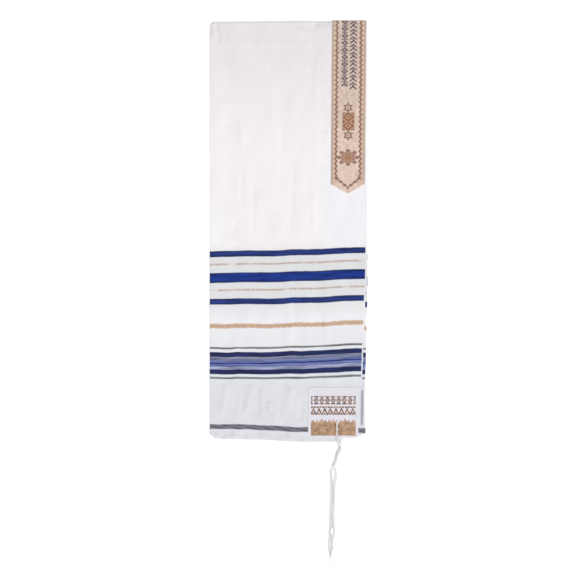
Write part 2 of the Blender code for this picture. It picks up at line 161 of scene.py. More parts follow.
@dataclass(frozen=True)
class ShawlForm:
    """The folded strip's own form: its outline, its thickness, its folds and how its weave has slipped."""

    length: float = 1.178
    width: float = 0.339
    cut_length: float = 1.800
    wall: float = 1.1 * MM
    under_selvedge: float = 0.8 * MM
    band_wall: float = 1.0 * MM
    pile: float = 4.6 * MM
    neck_loft: float = 2.4 * MM
    neck_loft_reach: float = 32 * MM
    fold_loft: float = 1.1 * MM
    fold_loft_reach: float = 26 * MM
    fold_roll: float = 1.7 * MM
    corner_radius: float = 11 * MM
    corner_roll: float = 2.6 * MM
    neck_droop: float = 1.5 * MM
    hem_width: float = 9 * MM
    hem_lap: float = 0.8 * MM
    hem_step: float = 1.2 * MM
    hem_rise: float = 0.45 * MM
    crease_fade: float = 0.2
    droop_reach: float = 60 * MM
    droop_from: float = 0.060
    droop_width: float = 0.200
    ripple: float = 0.462 * MM
    ripple_waves: int = 26
    ripple_seed: int = 7
    ripple_turn: float = 0.55
    ripple_mean: float = 0.045
    ripple_lengths: tuple[float, float] = (0.016, 0.070)
    right_edges: tuple[EdgeRow, ...] = table(
        EdgeRow,
        (587.7, 169, 170.4, 4.2), (80, 169.2, 170.9, 3.9), (30, 168.4, 170.6, 4.1),
        (-12, 164.7, 170.3, 2.4), (-70, 162.6, 168.7, 2), (-135, 159.8, 167.3, 2),
        (-180, 158.1, 165.8, 2), (-225, 155, 164.7, 2), (-260, 154.6, 165, 2), (-300, 154.5, 166.4, 2),
    )
    hems: tuple[HemRow, ...] = table(
        HemRow,
        (0, 9.5, 12), (0.03, 2.5, 6), (0.09, 0.8, 4), (0.3, -1, 3), (0.62, -5.6, -0.5), (0.845, -5.6, -2),
        (0.872, 2.8, 4.5), (0.965, 2.8, 6), (1, 9.6, 11),
    )
    creases: tuple[Crease, ...] = table(
        Crease,
        (0, 150, 1, -330, 1.2, 15), (-114, -60, -111, -330, 0.9, 14), (84, 120, 80, -250, 0.8, 14),
        (-52, -195, -70, -290, 0.6, 16), (30, -200, 12, -300, 0.6, 16), (-150, 538, -50, 528, 0.5, 16),
        (-60, 420, -48, 230, 0.5, 18),
    )
    wrinkles: tuple[Crease, ...] = table(
        Crease,
        (-157, 588, -149.5, 539, -3.3, 8), (-170.5, 602, -170, 554, -2.6, 8),
        (-182, 589, -134, 589, -2.4, 7), (-143, 541.8, -40, 542.9, 0.65, 9.5),
        (-57, 539.7, 59, 533.2, 0.8, 9.5), (10, 566, 64, 560, 0.9, 9), (-100, 577, -84, 560, -0.73, 9),
        (14, 578, 56, 572, -0.6, 9), (64, 536.4, 90, 536.4, -0.84, 4.5),
        (50, 583.5, 92.5, 586.5, -3.6, 15), (61, 520, 59, 383, 1.05, 10.1), (68, 516, 90, 514, 0.73, 5.6),
        (68, 473, 90, 473, -0.73, 4.5), (70, 439, 90, 440, -0.73, 4.5), (66, 424, 88, 421, 0.73, 6.7),
        (68, 385, 88, 388, -0.63, 5.6), (68, 345, 88, 343, 0.63, 6.7), (70, 300, 88, 302, -0.63, 5.6),
        (70, 268, 88, 266, 0.63, 5.6), (35, 478, 47, 462, -0.84, 10.1),
        (-98.9, 288, -102, 176, -1.26, 10.1), (-74.2, 249, -76.3, 133, -1.26, 9),
        (-59.1, 193, -59.1, 186.5, -1.05, 4.5), (-30.3, 172, -32.5, 165, 1.05, 6.7),
        (14, 296.7, 1, 124.7, -1.26, 11.2), (54.8, 228, 54.8, 127, 1.26, 9),
        (156, 217, 154, 163, -0.84, 6.7), (-123.6, 319, -110.7, 312, -0.84, 4.5),
        (-104, 370, -98, 305, 0.84, 10.1), (-12, 357, -16, 297, -0.84, 10.1),
        (59, 363, 59, 271, 0.84, 11.2), (-162, 235, -162, 232, -1.05, 4.5),
        (-145, 239, -143, 235, -0.84, 5.6), (-114, 161, -114.5, 138, -0.84, 6.7),
        (-134, 125, -113, 108, 0.84, 9), (-129.6, -187, -146, -262.3, 1.8, 12),
        (-75.9, -187, -95.2, -268, 1.8, 12), (-65, -195, -66, -268, -1.9, 9),
        (-108, -200, -118, -256, -1.2, 9), (-42.5, -230, -39, -256, 1.9, 11),
        (-35, -252, -30, -270, 1.4, 9), (5, -198, 7.5, -224, 1.9, 11), (27, -220, 25, -276, -1.9, 10),
        (-16, -224, -20.5, -271, -1.3, 9), (42, -178, 150, -177, 1.1, 16),
        (-145, -300, -138, -311, -2.3, 7), (-120, -299, -114, -311, 1.8, 8),
        (-100, -298, -92, -309, -2, 7), (-60, -300, -50, -311, 1.8, 8), (-30, -300, -23, -312, -2, 7),
        (-2, -301, 4, -312, 1.7, 7), (20, -303, 30, -315, -1.9, 7),
    )
    lifts: tuple[LiftRow, ...] = table(
        LiftRow,
        (-164.5, -0.4, 0, 0, 0.4), (-153.7, 0, 0, -0.5, 0), (-143, 0.3, -0.3, -1.3, 0),
        (-127.9, 0.5, 0, -1.6, 0.3), (-117.2, 0.8, 0.5, -0.8, -0.3), (-110.7, 1.1, 0.8, 0, -0.6),
        (-93.5, 1.4, 0.9, -0.6, -0.2), (-78.5, 1.4, 0.9, -0.5, -1.2), (-57, 1.5, 0.5, -0.9, -2.4),
        (-46.2, 1.5, 0, -0.6, -3.1), (-24.7, 1.7, 0.3, 0.2, -3.5), (-11.8, 2.3, 0.8, 1, -4.7),
        (-3.2, 3.2, 1.4, 1.7, -5.4), (7.5, 3.9, 3, 1.9, -6.4), (29, 4.1, 3, 1.5, -6.3),
        (50.5, 4.3, 3, 2.8, -6), (72, 4.8, 3.6, 3.9, -6.5), (82.8, 5.8, 4.1, 4.6, -7),
        (104.3, 7.1, 6.2, 5.4, -7.5), (125.8, 8, 7.3, 7.2, -8), (147.3, 8.4, 7.7, 8, -8.2),
    )
    lift_heights: tuple[float, ...] = (0.045, -0.045, -0.145, -0.286)

    @property
    def neck_y(self) -> float:
        """Where the neck fold ends, at the far end of the strip."""
        return self.length / 2 - SEAM_GAP - self.band_wall

    @property
    def hem_y(self) -> float:
        """Where the cut's end would lie if it were straight."""
        return self.neck_y - self.cut_length / 2

    @property
    def left_x(self) -> float:
        """The outside of the lengthwise fold."""
        return -self.width / 2

    @property
    def neck_roll(self) -> float:
        """The radius of the neck fold, which holds all the layers."""
        return (self.pile + self.neck_loft + SEAM_GAP + self.wall) / 2

    @property
    def flat_top_y(self) -> float:
        """Where the flat cloth meets the neck fold."""
        return self.neck_y - self.neck_roll

    @property
    def flat_left_x(self) -> float:
        """Where the flat cloth meets the lengthwise fold."""
        return self.left_x + self.fold_roll

    def right_edge(self, y: Any, layer: Layer = Layer.FRONT) -> Any:
        """The x of a layer's right-hand edge at a place along the strip."""
        return MM * eased_table(self.right_edges, "y", layer.value, y / MM)

    def stripes_end(self, y: Any, layer: Layer = Layer.FRONT) -> Any:
        """The x where a layer's stripes end, inside its selvedge, at a place along the strip."""
        selvedge = MM * eased_table(self.right_edges, "y", "selvedge", y / MM)
        return self.right_edge(y, layer) - (selvedge if layer is Layer.FRONT else self.under_selvedge)

    def hem_line(self, across: Any, layer: Layer = Layer.FRONT) -> Any:
        """The y of a layer's hem at a share of the way across from the lengthwise fold."""
        return self.hem_y + MM * eased_table(self.hems, "across", layer.value, across)

    def across_x(self, across: Any, y: Any, layer: Layer = Layer.FRONT) -> Any:
        """The x of a layer's flat cloth at a share of the way across, at a place along the strip."""
        return self.flat_left_x + across * (self.right_edge(y, layer) - self.flat_left_x)

    def flat_point(self, across: Any, down: Any, layer: Layer = Layer.FRONT) -> tuple[Any, Any]:
        """The x and y of a layer's flat cloth at its shares across and down from the neck fold."""
        y = self.flat_top_y + down * (self.hem_line(across, layer) - self.flat_top_y)
        return self.across_x(across, y, layer), y

    def _folds(self, creases: Sequence[Crease], x: Any, y: Any) -> Any:
        """The rise of a set of soft folds at some points.

        Args:
            creases: The folds.
            x: The points' x.
            y: The points' y.

        Returns:
            The rise at each.
        """
        x, y = x / MM, y / MM
        rise = np.zeros(np.broadcast(x, y).shape)
        for crease in creases:
            along_x, along_y = crease.x1 - crease.x0, crease.y1 - crease.y0
            share = ((x - crease.x0) * along_x + (y - crease.y0) * along_y) / (along_x**2 + along_y**2)
            held = np.clip(share, 0.0, 1.0)
            away = np.hypot(x - crease.x0 - held * along_x, y - crease.y0 - held * along_y)
            near = np.minimum(away / crease.half_width, 1.0)
            fade = ease(share / self.crease_fade) * ease((1 - share) / self.crease_fade)
            rise += crease.rise * fade * (1 + np.cos(np.pi * near)) / 2
        return rise * MM

    def ripples(self, x: Any, y: Any) -> Any:
        """The faint unevenness of cloth that has been folded away: a fixed set of long, low waves.

        Args:
            x: The points' x.
            y: The points' y.

        Returns:
            The rise at each.
        """
        draws = np.random.default_rng(self.ripple_seed)
        rise = np.zeros(np.broadcast(x, y).shape)
        for _ in range(self.ripple_waves):
            heading = draws.normal(0.0, self.ripple_turn)
            length = draws.uniform(*self.ripple_lengths)
            phase = draws.uniform(0, 2 * math.pi)
            along = x * math.cos(heading) + y * math.sin(heading)
            rise += length / self.ripple_mean * np.sin(2 * math.pi * along / length + phase)
        return rise * self.ripple / math.sqrt(self.ripple_waves)

    def pile_height(self, x: Any, y: Any) -> Any:
        """The height of the hidden layers' upper face.

        Args:
            x: The points' x.
            y: The points' y.

        Returns:
            The height at each.
        """
        at_neck = np.exp(-np.maximum(0.0, self.neck_y - y) / self.neck_loft_reach)
        at_fold = np.exp(-np.maximum(0.0, x - self.left_x) / self.fold_loft_reach)
        loft = self.neck_loft * at_neck + self.fold_loft * at_fold * (1 - at_neck)
        return self.pile + loft + self._folds(self.creases, x, y)

    def hem_ridge(self, x: Any, y: Any) -> Any:
        """How far the turned hem stands up at some points of the front layer.

        Args:
            x: The points' x.
            y: The points' y.

        Returns:
            The rise at each.
        """
        across = (x - self.flat_left_x) / (self.right_edge(y) - self.flat_left_x)
        inside = y - self.hem_line(np.clip(across, 0.0, 1.0))
        return self.hem_rise * ease((self.hem_width + self.hem_lap - inside) / self.hem_step)

    def height(self, x: Any, y: Any) -> Any:
        """The height of the front layer's outer face at some points, with its wrinkles and its hem."""
        return self.pile_height(x, y) + SEAM_GAP + self.wall + self.relief(x, y) + self.hem_ridge(x, y)

    def relief(self, x: Any, y: Any) -> Any:
        """The wrinkles and ripples of the front layer, above or below its smooth form."""
        return self._folds(self.wrinkles, x, y) + self.ripples(x, y)

    def droop(self, x: Any, y: Any) -> Any:
        """How far the neck fold falls short towards the lengthwise fold, along the strip."""
        near = ease(1 - (self.neck_y - y) / self.droop_reach)
        return -self.neck_droop * near * ease((self.droop_from - x) / self.droop_width)

    def lift(self, x: Any, y: Any) -> Any:
        """How far the weft has slipped up the strip.

        Args:
            x: The points' x.
            y: The points' y.

        Returns:
            The slip at each.
        """
        slips = [MM * eased_table(self.lifts, "x", name, x / MM) for name in LiftRow._fields[1:]]
        total = slips[0]
        for above, below, high, low in zip(slips, slips[1:], self.lift_heights, self.lift_heights[1:]):
            total = total + (below - above) * np.clip((high - y) / (high - low), 0.0, 1.0)
        return total

    def fold_outline(
        self, x: float, y: float, from_corner: float, at_neck: bool
    ) -> tuple[Vector, Vector, float]:
        """The outermost point of the folds at a station of their border.

        Args:
            x: The station's x on the flat cloth.
            y: The station's y on the flat cloth.
            from_corner: How far the station is from the folds' corner.
            at_neck: Whether it is along the neck fold, and not the lengthwise one.

        Returns:
            The point in plan, its outward direction, and the neck fold's share, from 0 to 1.
        """
        turn = math.radians(45) * min(1.0, from_corner / self.corner_radius)
        angle = math.radians(45) + (turn if at_neck else -turn)
        outward = Vector((-math.cos(angle), math.sin(angle)))
        centre = Vector((self.left_x + self.corner_radius, self.neck_y - self.corner_radius))
        point = centre + outward * self.corner_radius
        if from_corner > self.corner_radius:
            point = Vector((x, self.neck_y)) if at_neck else Vector((self.left_x, y))
        return point, outward, float(ease(math.sin(angle) ** 2))


FORM = ShawlForm()


@dataclass
class Sheet:
    """An open sheet of quads: its points, its faces, and each point's place in the flat cloth."""

    points: np.ndarray
    quads: np.ndarray
    cloth: np.ndarray

    def normals(self) -> np.ndarray:
        """The direction that each point faces, from the faces round it.

        Returns:
            A unit vector for each point.
        """
        corners = self.points[self.quads]
        facing = np.cross(corners[:, 2] - corners[:, 0], corners[:, 3] - corners[:, 1])
        total = np.zeros_like(self.points)
        for corner in range(4):
            np.add.at(total, self.quads[:, corner], facing)
        return unit(total)

    def border(self) -> np.ndarray:
        """The sheet's edge.

        Returns:
            Its points' numbers in order, with the sheet on their left.
        """
        starts = self.quads.reshape(-1)
        ends = np.roll(self.quads, -1, axis=1).reshape(-1)
        known = set(zip(starts.tolist(), ends.tolist()))
        after = {a: b for a, b in known if (b, a) not in known}
        first = min(after)
        loop = [first]
        while after[loop[-1]] != first:
            loop.append(after[loop[-1]])
        return np.array(loop)

    def thickened(self, name: str, wall: float) -> bpy.types.Object:
        """Gives the sheet a wall under it and a rounded rim, as one closed mesh.

        Args:
            name: The new object's name.
            wall: The wall's thickness.

        Returns:
            The object.
        """
        normals = self.normals()
        edge = self.border()
        count = len(self.points)
        upper, lower = self.points[edge], self.points[edge] - wall * normals[edge]
        run = np.roll(upper, -1, axis=0) - np.roll(upper, 1, axis=0)
        outward = unit(np.cross(run, normals[edge]))
        points = [self.points, self.points - wall * normals]
        cloth = [self.cloth, self.cloth]
        rings = [edge]
        for step in range(1, RIM_STEPS):
            angle = math.pi * step / RIM_STEPS
            reach = math.cos(angle) * normals[edge] + math.sin(angle) * outward
            rings.append(np.arange(len(edge)) + 2 * count + (step - 1) * len(edge))
            points.append((upper + lower) / 2 + wall / 2 * reach)
            cloth.append(self.cloth[edge])
        rings.append(edge + count)
        faces = [self.quads, self.quads[:, ::-1] + count]
        for above, below in zip(rings, rings[1:]):
            faces.append(np.column_stack((np.roll(above, -1), above, below, np.roll(below, -1))))
        return mesh_object(name, np.concatenate(points), np.concatenate(faces), np.concatenate(cloth))


def place_object(name: str, data: bpy.types.ID) -> bpy.types.Object:
    """Makes an object and puts it in the scene.

    Args:
        name: The object's name.
        data: Its mesh, lamp or camera.

    Returns:
        The object.
    """
    made = bpy.data.objects.new(name, data)
    bpy.context.scene.collection.objects.link(made)
    return made


def mesh_object(
    name: str, points: np.ndarray, faces: list[Any] | np.ndarray, cloth: np.ndarray | None = None
) -> bpy.types.Object:
    """Makes a smooth mesh object, with its cloth coordinates where it has them.

    Args:
        name: The object's name.
        points: Its points.
        faces: Its faces, as rows of point numbers.
        cloth: Each point's place in the flat cloth, in metres.

    Returns:
        The object, in the scene.
    """
    mesh = bpy.data.meshes.new(name)
    listed = faces.tolist() if isinstance(faces, np.ndarray) else faces
    mesh.from_pydata(points.tolist(), [], listed)
    if cloth is not None:
        corners = np.empty(len(mesh.loops), int)
        mesh.loops.foreach_get("vertex_index", corners)
        spread = cloth[corners].astype(np.float32).reshape(-1)
        mesh.uv_layers.new(name=CLOTH_UV).data.foreach_set("uv", spread)
    mesh.shade_smooth()
    return place_object(name, mesh)


def grid_quads(columns: int, rows: int) -> np.ndarray:
    """Quads that face up over a grid whose points are stored row by row, from the far end down."""
    corner = (np.arange(rows - 1)[:, None] * columns + np.arange(columns - 1)[None, :]).reshape(-1)
    return np.column_stack((corner, corner + columns, corner + columns + 1, corner + 1))


def rolled(row: np.ndarray, outward: np.ndarray, radius: Any, angle: float) -> np.ndarray:
    """Carries a row of points some way round a roll.

    Args:
        row: The points where the roll starts.
        outward: The direction in plan that it goes, for all or for each.
        radius: Its radius, for all or as a column.
        angle: How far round it the points are carried.

    Returns:
        The points there, kept off the floor.
    """
    moved = row.copy()
    moved[:, :2] += outward * (radius * math.sin(angle))
    moved[:, 2:] = np.maximum(moved[:, 2:] - radius * (1 - math.cos(angle)), FLOOR_GAP)
    return moved


class Field:
    """A value inside a material, which Python's operators work on by adding Math nodes."""

    def __init__(self, graph: "MaterialGraph", socket: bpy.types.NodeSocket) -> None:
        """Wraps an output socket of a material's nodes."""
        self.graph = graph
        self.socket = socket

    def math(self, operation: str, *others: Any, clamp: bool = False) -> "Field":
        """Adds a Math node that starts from this value, and goes on with other numbers or fields."""
        sockets = dict(enumerate((self, *others)))
        return self.graph.field("ShaderNodeMath", sockets, operation=operation, use_clamp=clamp)

    def _from(self, other: Any, operation: str) -> "Field":
        """Adds a Math node that ends with this value."""
        return self.graph.field("ShaderNodeMath", {0: other, 1: self}, operation=operation)

    def __add__(self, other: Any) -> "Field":
        """This plus another."""
        return self.math("ADD", other)

    __radd__ = __add__

    def __sub__(self, other: Any) -> "Field":
        """This less another."""
        return self.math("SUBTRACT", other)

    def __rsub__(self, other: Any) -> "Field":
        """Another less this."""
        return self._from(other, "SUBTRACT")

    def __mul__(self, other: Any) -> "Field":
        """This times another."""
        return self.math("MULTIPLY", other)

    __rmul__ = __mul__

    def __truediv__(self, other: Any) -> "Field":
        """This over another."""
        return self.math("DIVIDE", other)

    def __neg__(self) -> "Field":
        """This with its sign turned."""
        return self.math("MULTIPLY", -1.0)

    def __abs__(self) -> "Field":
        """This without its sign."""
        return self.math("ABSOLUTE")

    def least(self, other: Any) -> "Field":
        """The smaller of this and another."""
        return self.math("MINIMUM", other)

    def most(self, other: Any) -> "Field":
        """The larger of this and another."""
        return self.math("MAXIMUM", other)

    def above(self, edge: float, soft: float) -> "Field":
        """A mask that goes from 0 to 1 as this passes an edge, over a soft length."""
        return self.math("MULTIPLY_ADD", 1 / soft, 0.5 - edge / soft, clamp=True)

    def below(self, edge: float, soft: float) -> "Field":
        """A mask that goes from 1 to 0 as this passes an edge."""
        return self.math("MULTIPLY_ADD", -1 / soft, 0.5 + edge / soft, clamp=True)

    def between(self, low: float, high: float, soft: float) -> "Field":
        """A mask that is 1 from one edge to another."""
        return self.above(low, soft).least(self.below(high, soft))

    def wave(self, period: float) -> "Field":
        """A triangle wave from 0 to 1 and back over a period."""
        return self.math("PINGPONG", period / 2) * (2 / period)

    def beat(self, period: float) -> "Field":
        """The distance to the nearest whole multiple of a period, with its sign."""
        return self - (self / period).math("ROUND") * period

    def sine(self, period: float) -> "Field":
        """A sine wave over a period."""
        return (self * (2 * math.pi / period)).math("SINE")

    def length(self, other: "Field") -> "Field":
        """The length of a line that goes this far one way and another value the other."""
        return (self * self + other * other).math("SQRT")


class NodeBuilder:
    """A tree of nodes that one method adds to."""

    def __init__(self, tree: bpy.types.NodeTree) -> None:
        """Wraps a tree."""
        self.tree = tree

    def node(
        self, kind: str, sockets: dict[Any, Any] | None = None, stops: Sequence[tuple[float, Colour]] = (),
        **settings: Any
    ) -> bpy.types.Node:
        """Adds any node, with its settings set first.

        Args:
            kind: The node's type.
            sockets: The values of its inputs, or what they are linked to.
            stops: The place and the colour of each stop, for a ramp.
            settings: Its other settings.

        Returns:
            The node.
        """
        made = self.tree.nodes.new(kind)
        for name, value in settings.items():
            setattr(made, name, value)
        for number, (place, colour) in enumerate(stops):
            ramp = made.color_ramp.elements
            stop = ramp[number] if number < len(ramp) else ramp.new(place)
            stop.position = place
            stop.color = (*base_colour(colour), 1.0)
        for key, value in (sockets or {}).items():
            self.fill(made.inputs[key], value)
        return made

    def fill(self, socket: bpy.types.NodeSocket, value: Any) -> None:
        """Links a socket to a field, an output or a node's first output, or sets its own value.

        Args:
            socket: The input socket.
            value: What it is linked to, or a number, a vector or a colour.
        """
        if isinstance(value, Field):
            value = value.socket
        elif isinstance(value, bpy.types.Node):
            value = value.outputs[0]
        if isinstance(value, bpy.types.NodeSocket):
            self.tree.links.new(value, socket)
        elif socket.type == "RGBA":
            socket.default_value = (*base_colour(value), 1.0)
        else:
            socket.default_value = value

    def maths(self, operation: str, *values: Any) -> bpy.types.Node:
        """Adds a Math node."""
        return self.node("ShaderNodeMath", dict(enumerate(values)), operation=operation)

    def vector(self, operation: str, sockets: dict[Any, Any]) -> bpy.types.Node:
        """Adds a Vector Math node."""
        return self.node("ShaderNodeVectorMath", sockets, operation=operation)


class MaterialGraph(NodeBuilder):
    """The nodes of one material with one Principled BSDF."""

    def __init__(self, name: str) -> None:
        """Starts a material.

        Args:
            name: The material's name.
        """
        self.material = bpy.data.materials.new(name)
        self.material.use_nodes = True
        super().__init__(self.material.node_tree)
        self.shader = self.tree.nodes["Principled BSDF"]

    def field(self, kind: str, sockets: dict[Any, Any], output: Any = 0, **settings: Any) -> Field:
        """Adds a node and returns one of its outputs as a field."""
        return Field(self, self.node(kind, sockets, **settings).outputs[output])

    def in_millimetres(self, place: Field) -> Field:
        """A place in millimetres, from one in metres."""
        return Field(self, self.vector("SCALE", {0: place, "Scale": 1 / MM}).outputs[0])

    def split(self, place: Field) -> tuple[Field, Field]:
        """The first two parts of a place."""
        parts = self.node("ShaderNodeSeparateXYZ", {0: place})
        return Field(self, parts.outputs[0]), Field(self, parts.outputs[1])

    def object_place(self) -> Field:
        """The piece's own coordinates, in millimetres."""
        return self.in_millimetres(self.field("ShaderNodeTexCoord", {}, "Object"))

    def noise(self, place: Field, size: Sequence[float], detail: float) -> Field:
        """Cloudy noise from 0 to 1, from a place, the size of a cloud in millimetres and its finer detail."""
        scaled = self.vector("MULTIPLY", {0: place, 1: tuple(1 / part for part in size)})
        return self.field("ShaderNodeTexNoise", {"Vector": scaled, "Scale": 1.0, "Detail": detail})

    def ramp(self, share: Field, stops: Sequence[tuple[float, Colour]]) -> Field:
        """A colour read from a ramp at a share of its length, from 0 to 1."""
        return self.field("ShaderNodeValToRGB", {0: share}, "Color", stops=stops)

    def mix(self, first: Any, second: Any, share: Any, blend: str = "MIX") -> Field:
        """Mixes two colours, from the first where the share is 0 to the second where it is 1."""
        sockets = {0: share, 6: first, 7: second}
        return self.field("ShaderNodeMix", sockets, 2, data_type="RGBA", blend_type=blend, clamp_factor=True)

    def grey(self, amount: Field) -> Field:
        """A grey whose three parts are a field."""
        return self.field("ShaderNodeCombineXYZ", {0: amount, 1: amount, 2: amount})

    def shade(self, colour: Any, amount: Field) -> Field:
        """Multiplies a colour by a grey field."""
        return self.mix(colour, self.grey(amount), 1.0, "MULTIPLY")

    def finish(
        self, colour: Any, roughness: Any, relief: Field | None = None, metallic: Any = 0.0, **constants: Any
    ) -> bpy.types.Material:
        """Wires the shader.

        Args:
            colour: The base colour.
            roughness: The roughness.
            relief: The height of the surface's fine relief, in millimetres.
            metallic: The metallic value.
            constants: Other sockets that are the same all over, with _ for a space.

        Returns:
            The material.
        """
        sockets = {"Base Color": colour, "Roughness": roughness, "Metallic": metallic}
        if relief is not None:
            sockets["Normal"] = self.field("ShaderNodeBump", {"Distance": MM, "Height": relief}, "Normal")
        for name, value in sockets.items():
            self.fill(self.shader.inputs[name], value)
        for name, value in constants.items():
            self.shader.inputs[name.replace("_", " ")].default_value = value
        return self.material


class ClothGraph(MaterialGraph):
    """The nodes of a cloth's material, with the place in the flat cloth in millimetres."""

    def __init__(self, name: str) -> None:
        """Starts a cloth's material.

        Args:
            name: The material's name.
        """
        super().__init__(name)
        self.place = self.in_millimetres(self.field("ShaderNodeUVMap", {}, uv_map=CLOTH_UV))
        self.across, self.along = self.split(self.place)

    def cloud(self, wide: float, tall: float, detail: float = 2.0) -> Field:
        """Cloudy noise on the cloth from 0 to 1, whose clouds have a given size in millimetres."""
        return self.noise(self.place, (wide, tall, 1), detail)


class Stripe(NamedTuple):
    """A woven stripe: its two edges along the cloth and its softness in millimetres, and its colour."""

    low: float
    high: float
    soft: float
    colour: Colour


@dataclass(frozen=True)
class StripedCloth:
    """The shawl's white cloth with its stripes, a fine plain weave of wool and acrylic, in millimetres."""

    name: str
    corner_line: bool = False
    thread: float = 0.9
    copper_edges: tuple[float, float] = (-73.6, -64.2)
    float_rows: tuple[tuple[float, float], ...] = ((63.4, 11.0), (8.0, 47.0))
    end_stripe_edges: tuple[float, float] = (-290.6, -280.0)
    upright_at: float = 158.2
    blue: Colour = (34, 54, 118)
    blue_rim: Colour = (38, 48, 98)
    royal: Colour = (22, 50, 132)
    royal_rim: Colour = (32, 46, 104)
    navy: Colour = (32, 42, 88)
    periwinkle: Colour = (102, 112, 160)
    denim: Colour = (50, 64, 142)
    heather: Colour = (100, 104, 138)
    lilac: Colour = (130, 132, 162)
    pale_lilac: Colour = (148, 154, 186)
    slate: Colour = (118, 120, 124)
    copper: Colour = (198, 166, 142)
    straw: Colour = (182, 164, 152)
    mauve: Colour = (128, 124, 134)
    dark_mauve: Colour = (92, 86, 98)
    upright: Colour = (176, 166, 178)
    straw_halo: Colour = (234, 224, 220)
    cool_ground: Colour = (243, 242, 246)
    # Ground colours along the cloth, in millimetres, with painted shade: darker towards the hem and towards
    # the neck fold.
    ground_and_shade_stops: tuple[tuple[float, Colour], ...] = (
        (-320, (223, 224, 230)), (-196, (223, 224, 230)), (-172, (226, 230, 234)),
        (-112, (233, 233, 237)), (-56, (240, 239, 243)), (-14, (225, 226, 228)), (76, (222, 224, 226)),
        (104, (244, 239, 241)), (300, (246, 239, 240)), (360, (243, 237, 238)), (530, (233, 228, 231)),
        (590, (229, 224, 228)),
    )
    stripes: tuple[Stripe, ...] = table(
        Stripe,
        (79.2, 92.2, 1.6, blue_rim), (81.6, 89.8, 2.4, blue), (23.8, 45.2, 1.6, royal_rim),
        (27.6, 42, 3, royal), (-22.8, -10.3, 1.6, blue_rim), (-20.4, -12.8, 2.4, blue),
        (-117.9, -113.7, 1.8, slate), (-135.3, -124.5, 1.6, navy), (-139.3, -135.3, 1.2, lilac),
        (-142, -139.1, 1.2, heather), (-146.4, -141.8, 1.4, periwinkle), (-151, -146.2, 1.4, denim),
        (-156.2, -150.8, 1.4, periwinkle), (-161.4, -156, 1.2, pale_lilac), (-172, -161.4, 1.6, navy),
        (-182, -177.8, 1.8, slate),
    )

    def material(self) -> bpy.types.Material:
        """Builds the cloth's material.

        Returns:
            The material.
        """
        graph = ClothGraph(self.name)
        row = graph.along + (graph.cloud(24, 9, 3.0) - 0.5) * 1.6
        woven = graph.across.below(0.0, 0.8)
        pick = graph.cloud(34, 1.2)
        colour = self._ground(graph)
        dyed = None
        for stripe in self.stripes:
            mask = row.between(stripe.low, stripe.high, stripe.soft) * woven
            colour = graph.mix(colour, stripe.colour, mask)
            dyed = mask if dyed is None else dyed.most(mask)
        metal, gold = self._copper_stripe(graph, row, woven)
        colour = self._floats(graph, row, woven, graph.mix(colour, metal, gold))
        colour = graph.mix(colour, *self._end_stripe(graph))
        if self.corner_line:
            colour = graph.mix(colour, self.upright, self._upright_mask(graph))
        dye = graph.cloud(60, 5, 3.0)
        colour = graph.shade(colour, 0.985 + pick * 0.03 + ((pick - 0.5) * 0.7 + (dye - 0.5) * 2.2) * dyed)
        weave = graph.across.sine(self.thread) * graph.along.sine(self.thread)
        relief = weave * 0.035 + pick * 0.06 + dyed * 0.08
        return graph.finish(
            colour, 0.86 - gold * 0.40, relief, gold * 0.25, Sheen_Weight=0.10, Sheen_Roughness=0.5,
            Specular_IOR_Level=0.2,
        )

    def _ground(self, graph: ClothGraph) -> Field:
        """The white ground, cooler by the open side, with painted shade: darker and cooler towards the hem,
        greyer towards the neck fold.

        Args:
            graph: The cloth's nodes.

        Returns:
            The colour.
        """
        # The ramp along the cloth paints shade: the ground falls darker towards the hem and towards the neck
        # fold, where the cloth rolls away.
        low, high = self.ground_and_shade_stops[0][0], self.ground_and_shade_stops[-1][0]
        stops = [((at - low) / (high - low), colour) for at, colour in self.ground_and_shade_stops]
        share = graph.along.math("MULTIPLY_ADD", 1 / (high - low), -low / (high - low), clamp=True)
        open_side = graph.across.above(-105.0, 60.0) * graph.along.between(90.0, 330.0, 60.0)
        fold_side = graph.across.below(-304.0, 26.0) * graph.along.between(96.0, 196.0, 44.0)
        colour = graph.mix(graph.ramp(share, stops), self.cool_ground, open_side.most(fold_side) * 0.8)
        return graph.shade(colour, 0.955 + graph.cloud(46, 90, 3.0) * 0.09)

    def _copper_stripe(self, graph: ClothGraph, row: Field, woven: Field) -> tuple[Field, Field]:
        """The copper stripe of flat metal thread, with its ragged edges and painted glints.

        Args:
            graph: The cloth's nodes.
            row: The place along the cloth, as its weft runs.
            woven: The mask of the striped part.

        Returns:
            The stripe's colour, with its painted glints, and its mask.
        """
        low, high = self.copper_edges
        ragged = row + (graph.cloud(5.0, 3.0) - 0.5) * 7.0
        core = row.between(low + 1.6, high - 1.8, 3.0)
        # Painted glints: cloudy light and dark flecks in the copper colour stand in for the gleam of the
        # metal thread.
        metal = graph.shade(self.copper, 0.64 + graph.cloud(7.0, 2.4, 3.0) * 0.90 - core * 0.16)
        return metal, ragged.between(low, high, 2.2) * woven

    def _floats(self, graph: ClothGraph, row: Field, woven: Field, colour: Field) -> Field:
        """The two thin rows of straw-coloured floats, which come and go along the cloth.

        Args:
            graph: The cloth's nodes.
            row: The place along the cloth, as its weft runs.
            woven: The mask of the striped part.
            colour: The cloth's colour so far.

        Returns:
            The colour with the two rows.
        """
        for centre, seed in self.float_rows:
            shifted = Field(graph, graph.vector("ADD", {0: graph.place, 1: (seed, seed, 0)}).outputs[0])
            dashes = graph.noise(shifted, (22, 400, 1), 1.0).above(0.40, 0.12)
            fine = graph.noise(shifted, (5.0, 400, 1), 1.0).above(0.42, 0.3)
            halo = row.between(centre - 3.4, centre + 3.4, 3.0) * woven
            mask = row.between(centre - 1.9, centre + 1.9, 1.8) * (0.15 + dashes * (0.26 + fine * 0.50))
            colour = graph.mix(colour, self.straw_halo, halo * 0.6)
            colour = graph.mix(colour, self.straw, mask * woven)
        return colour

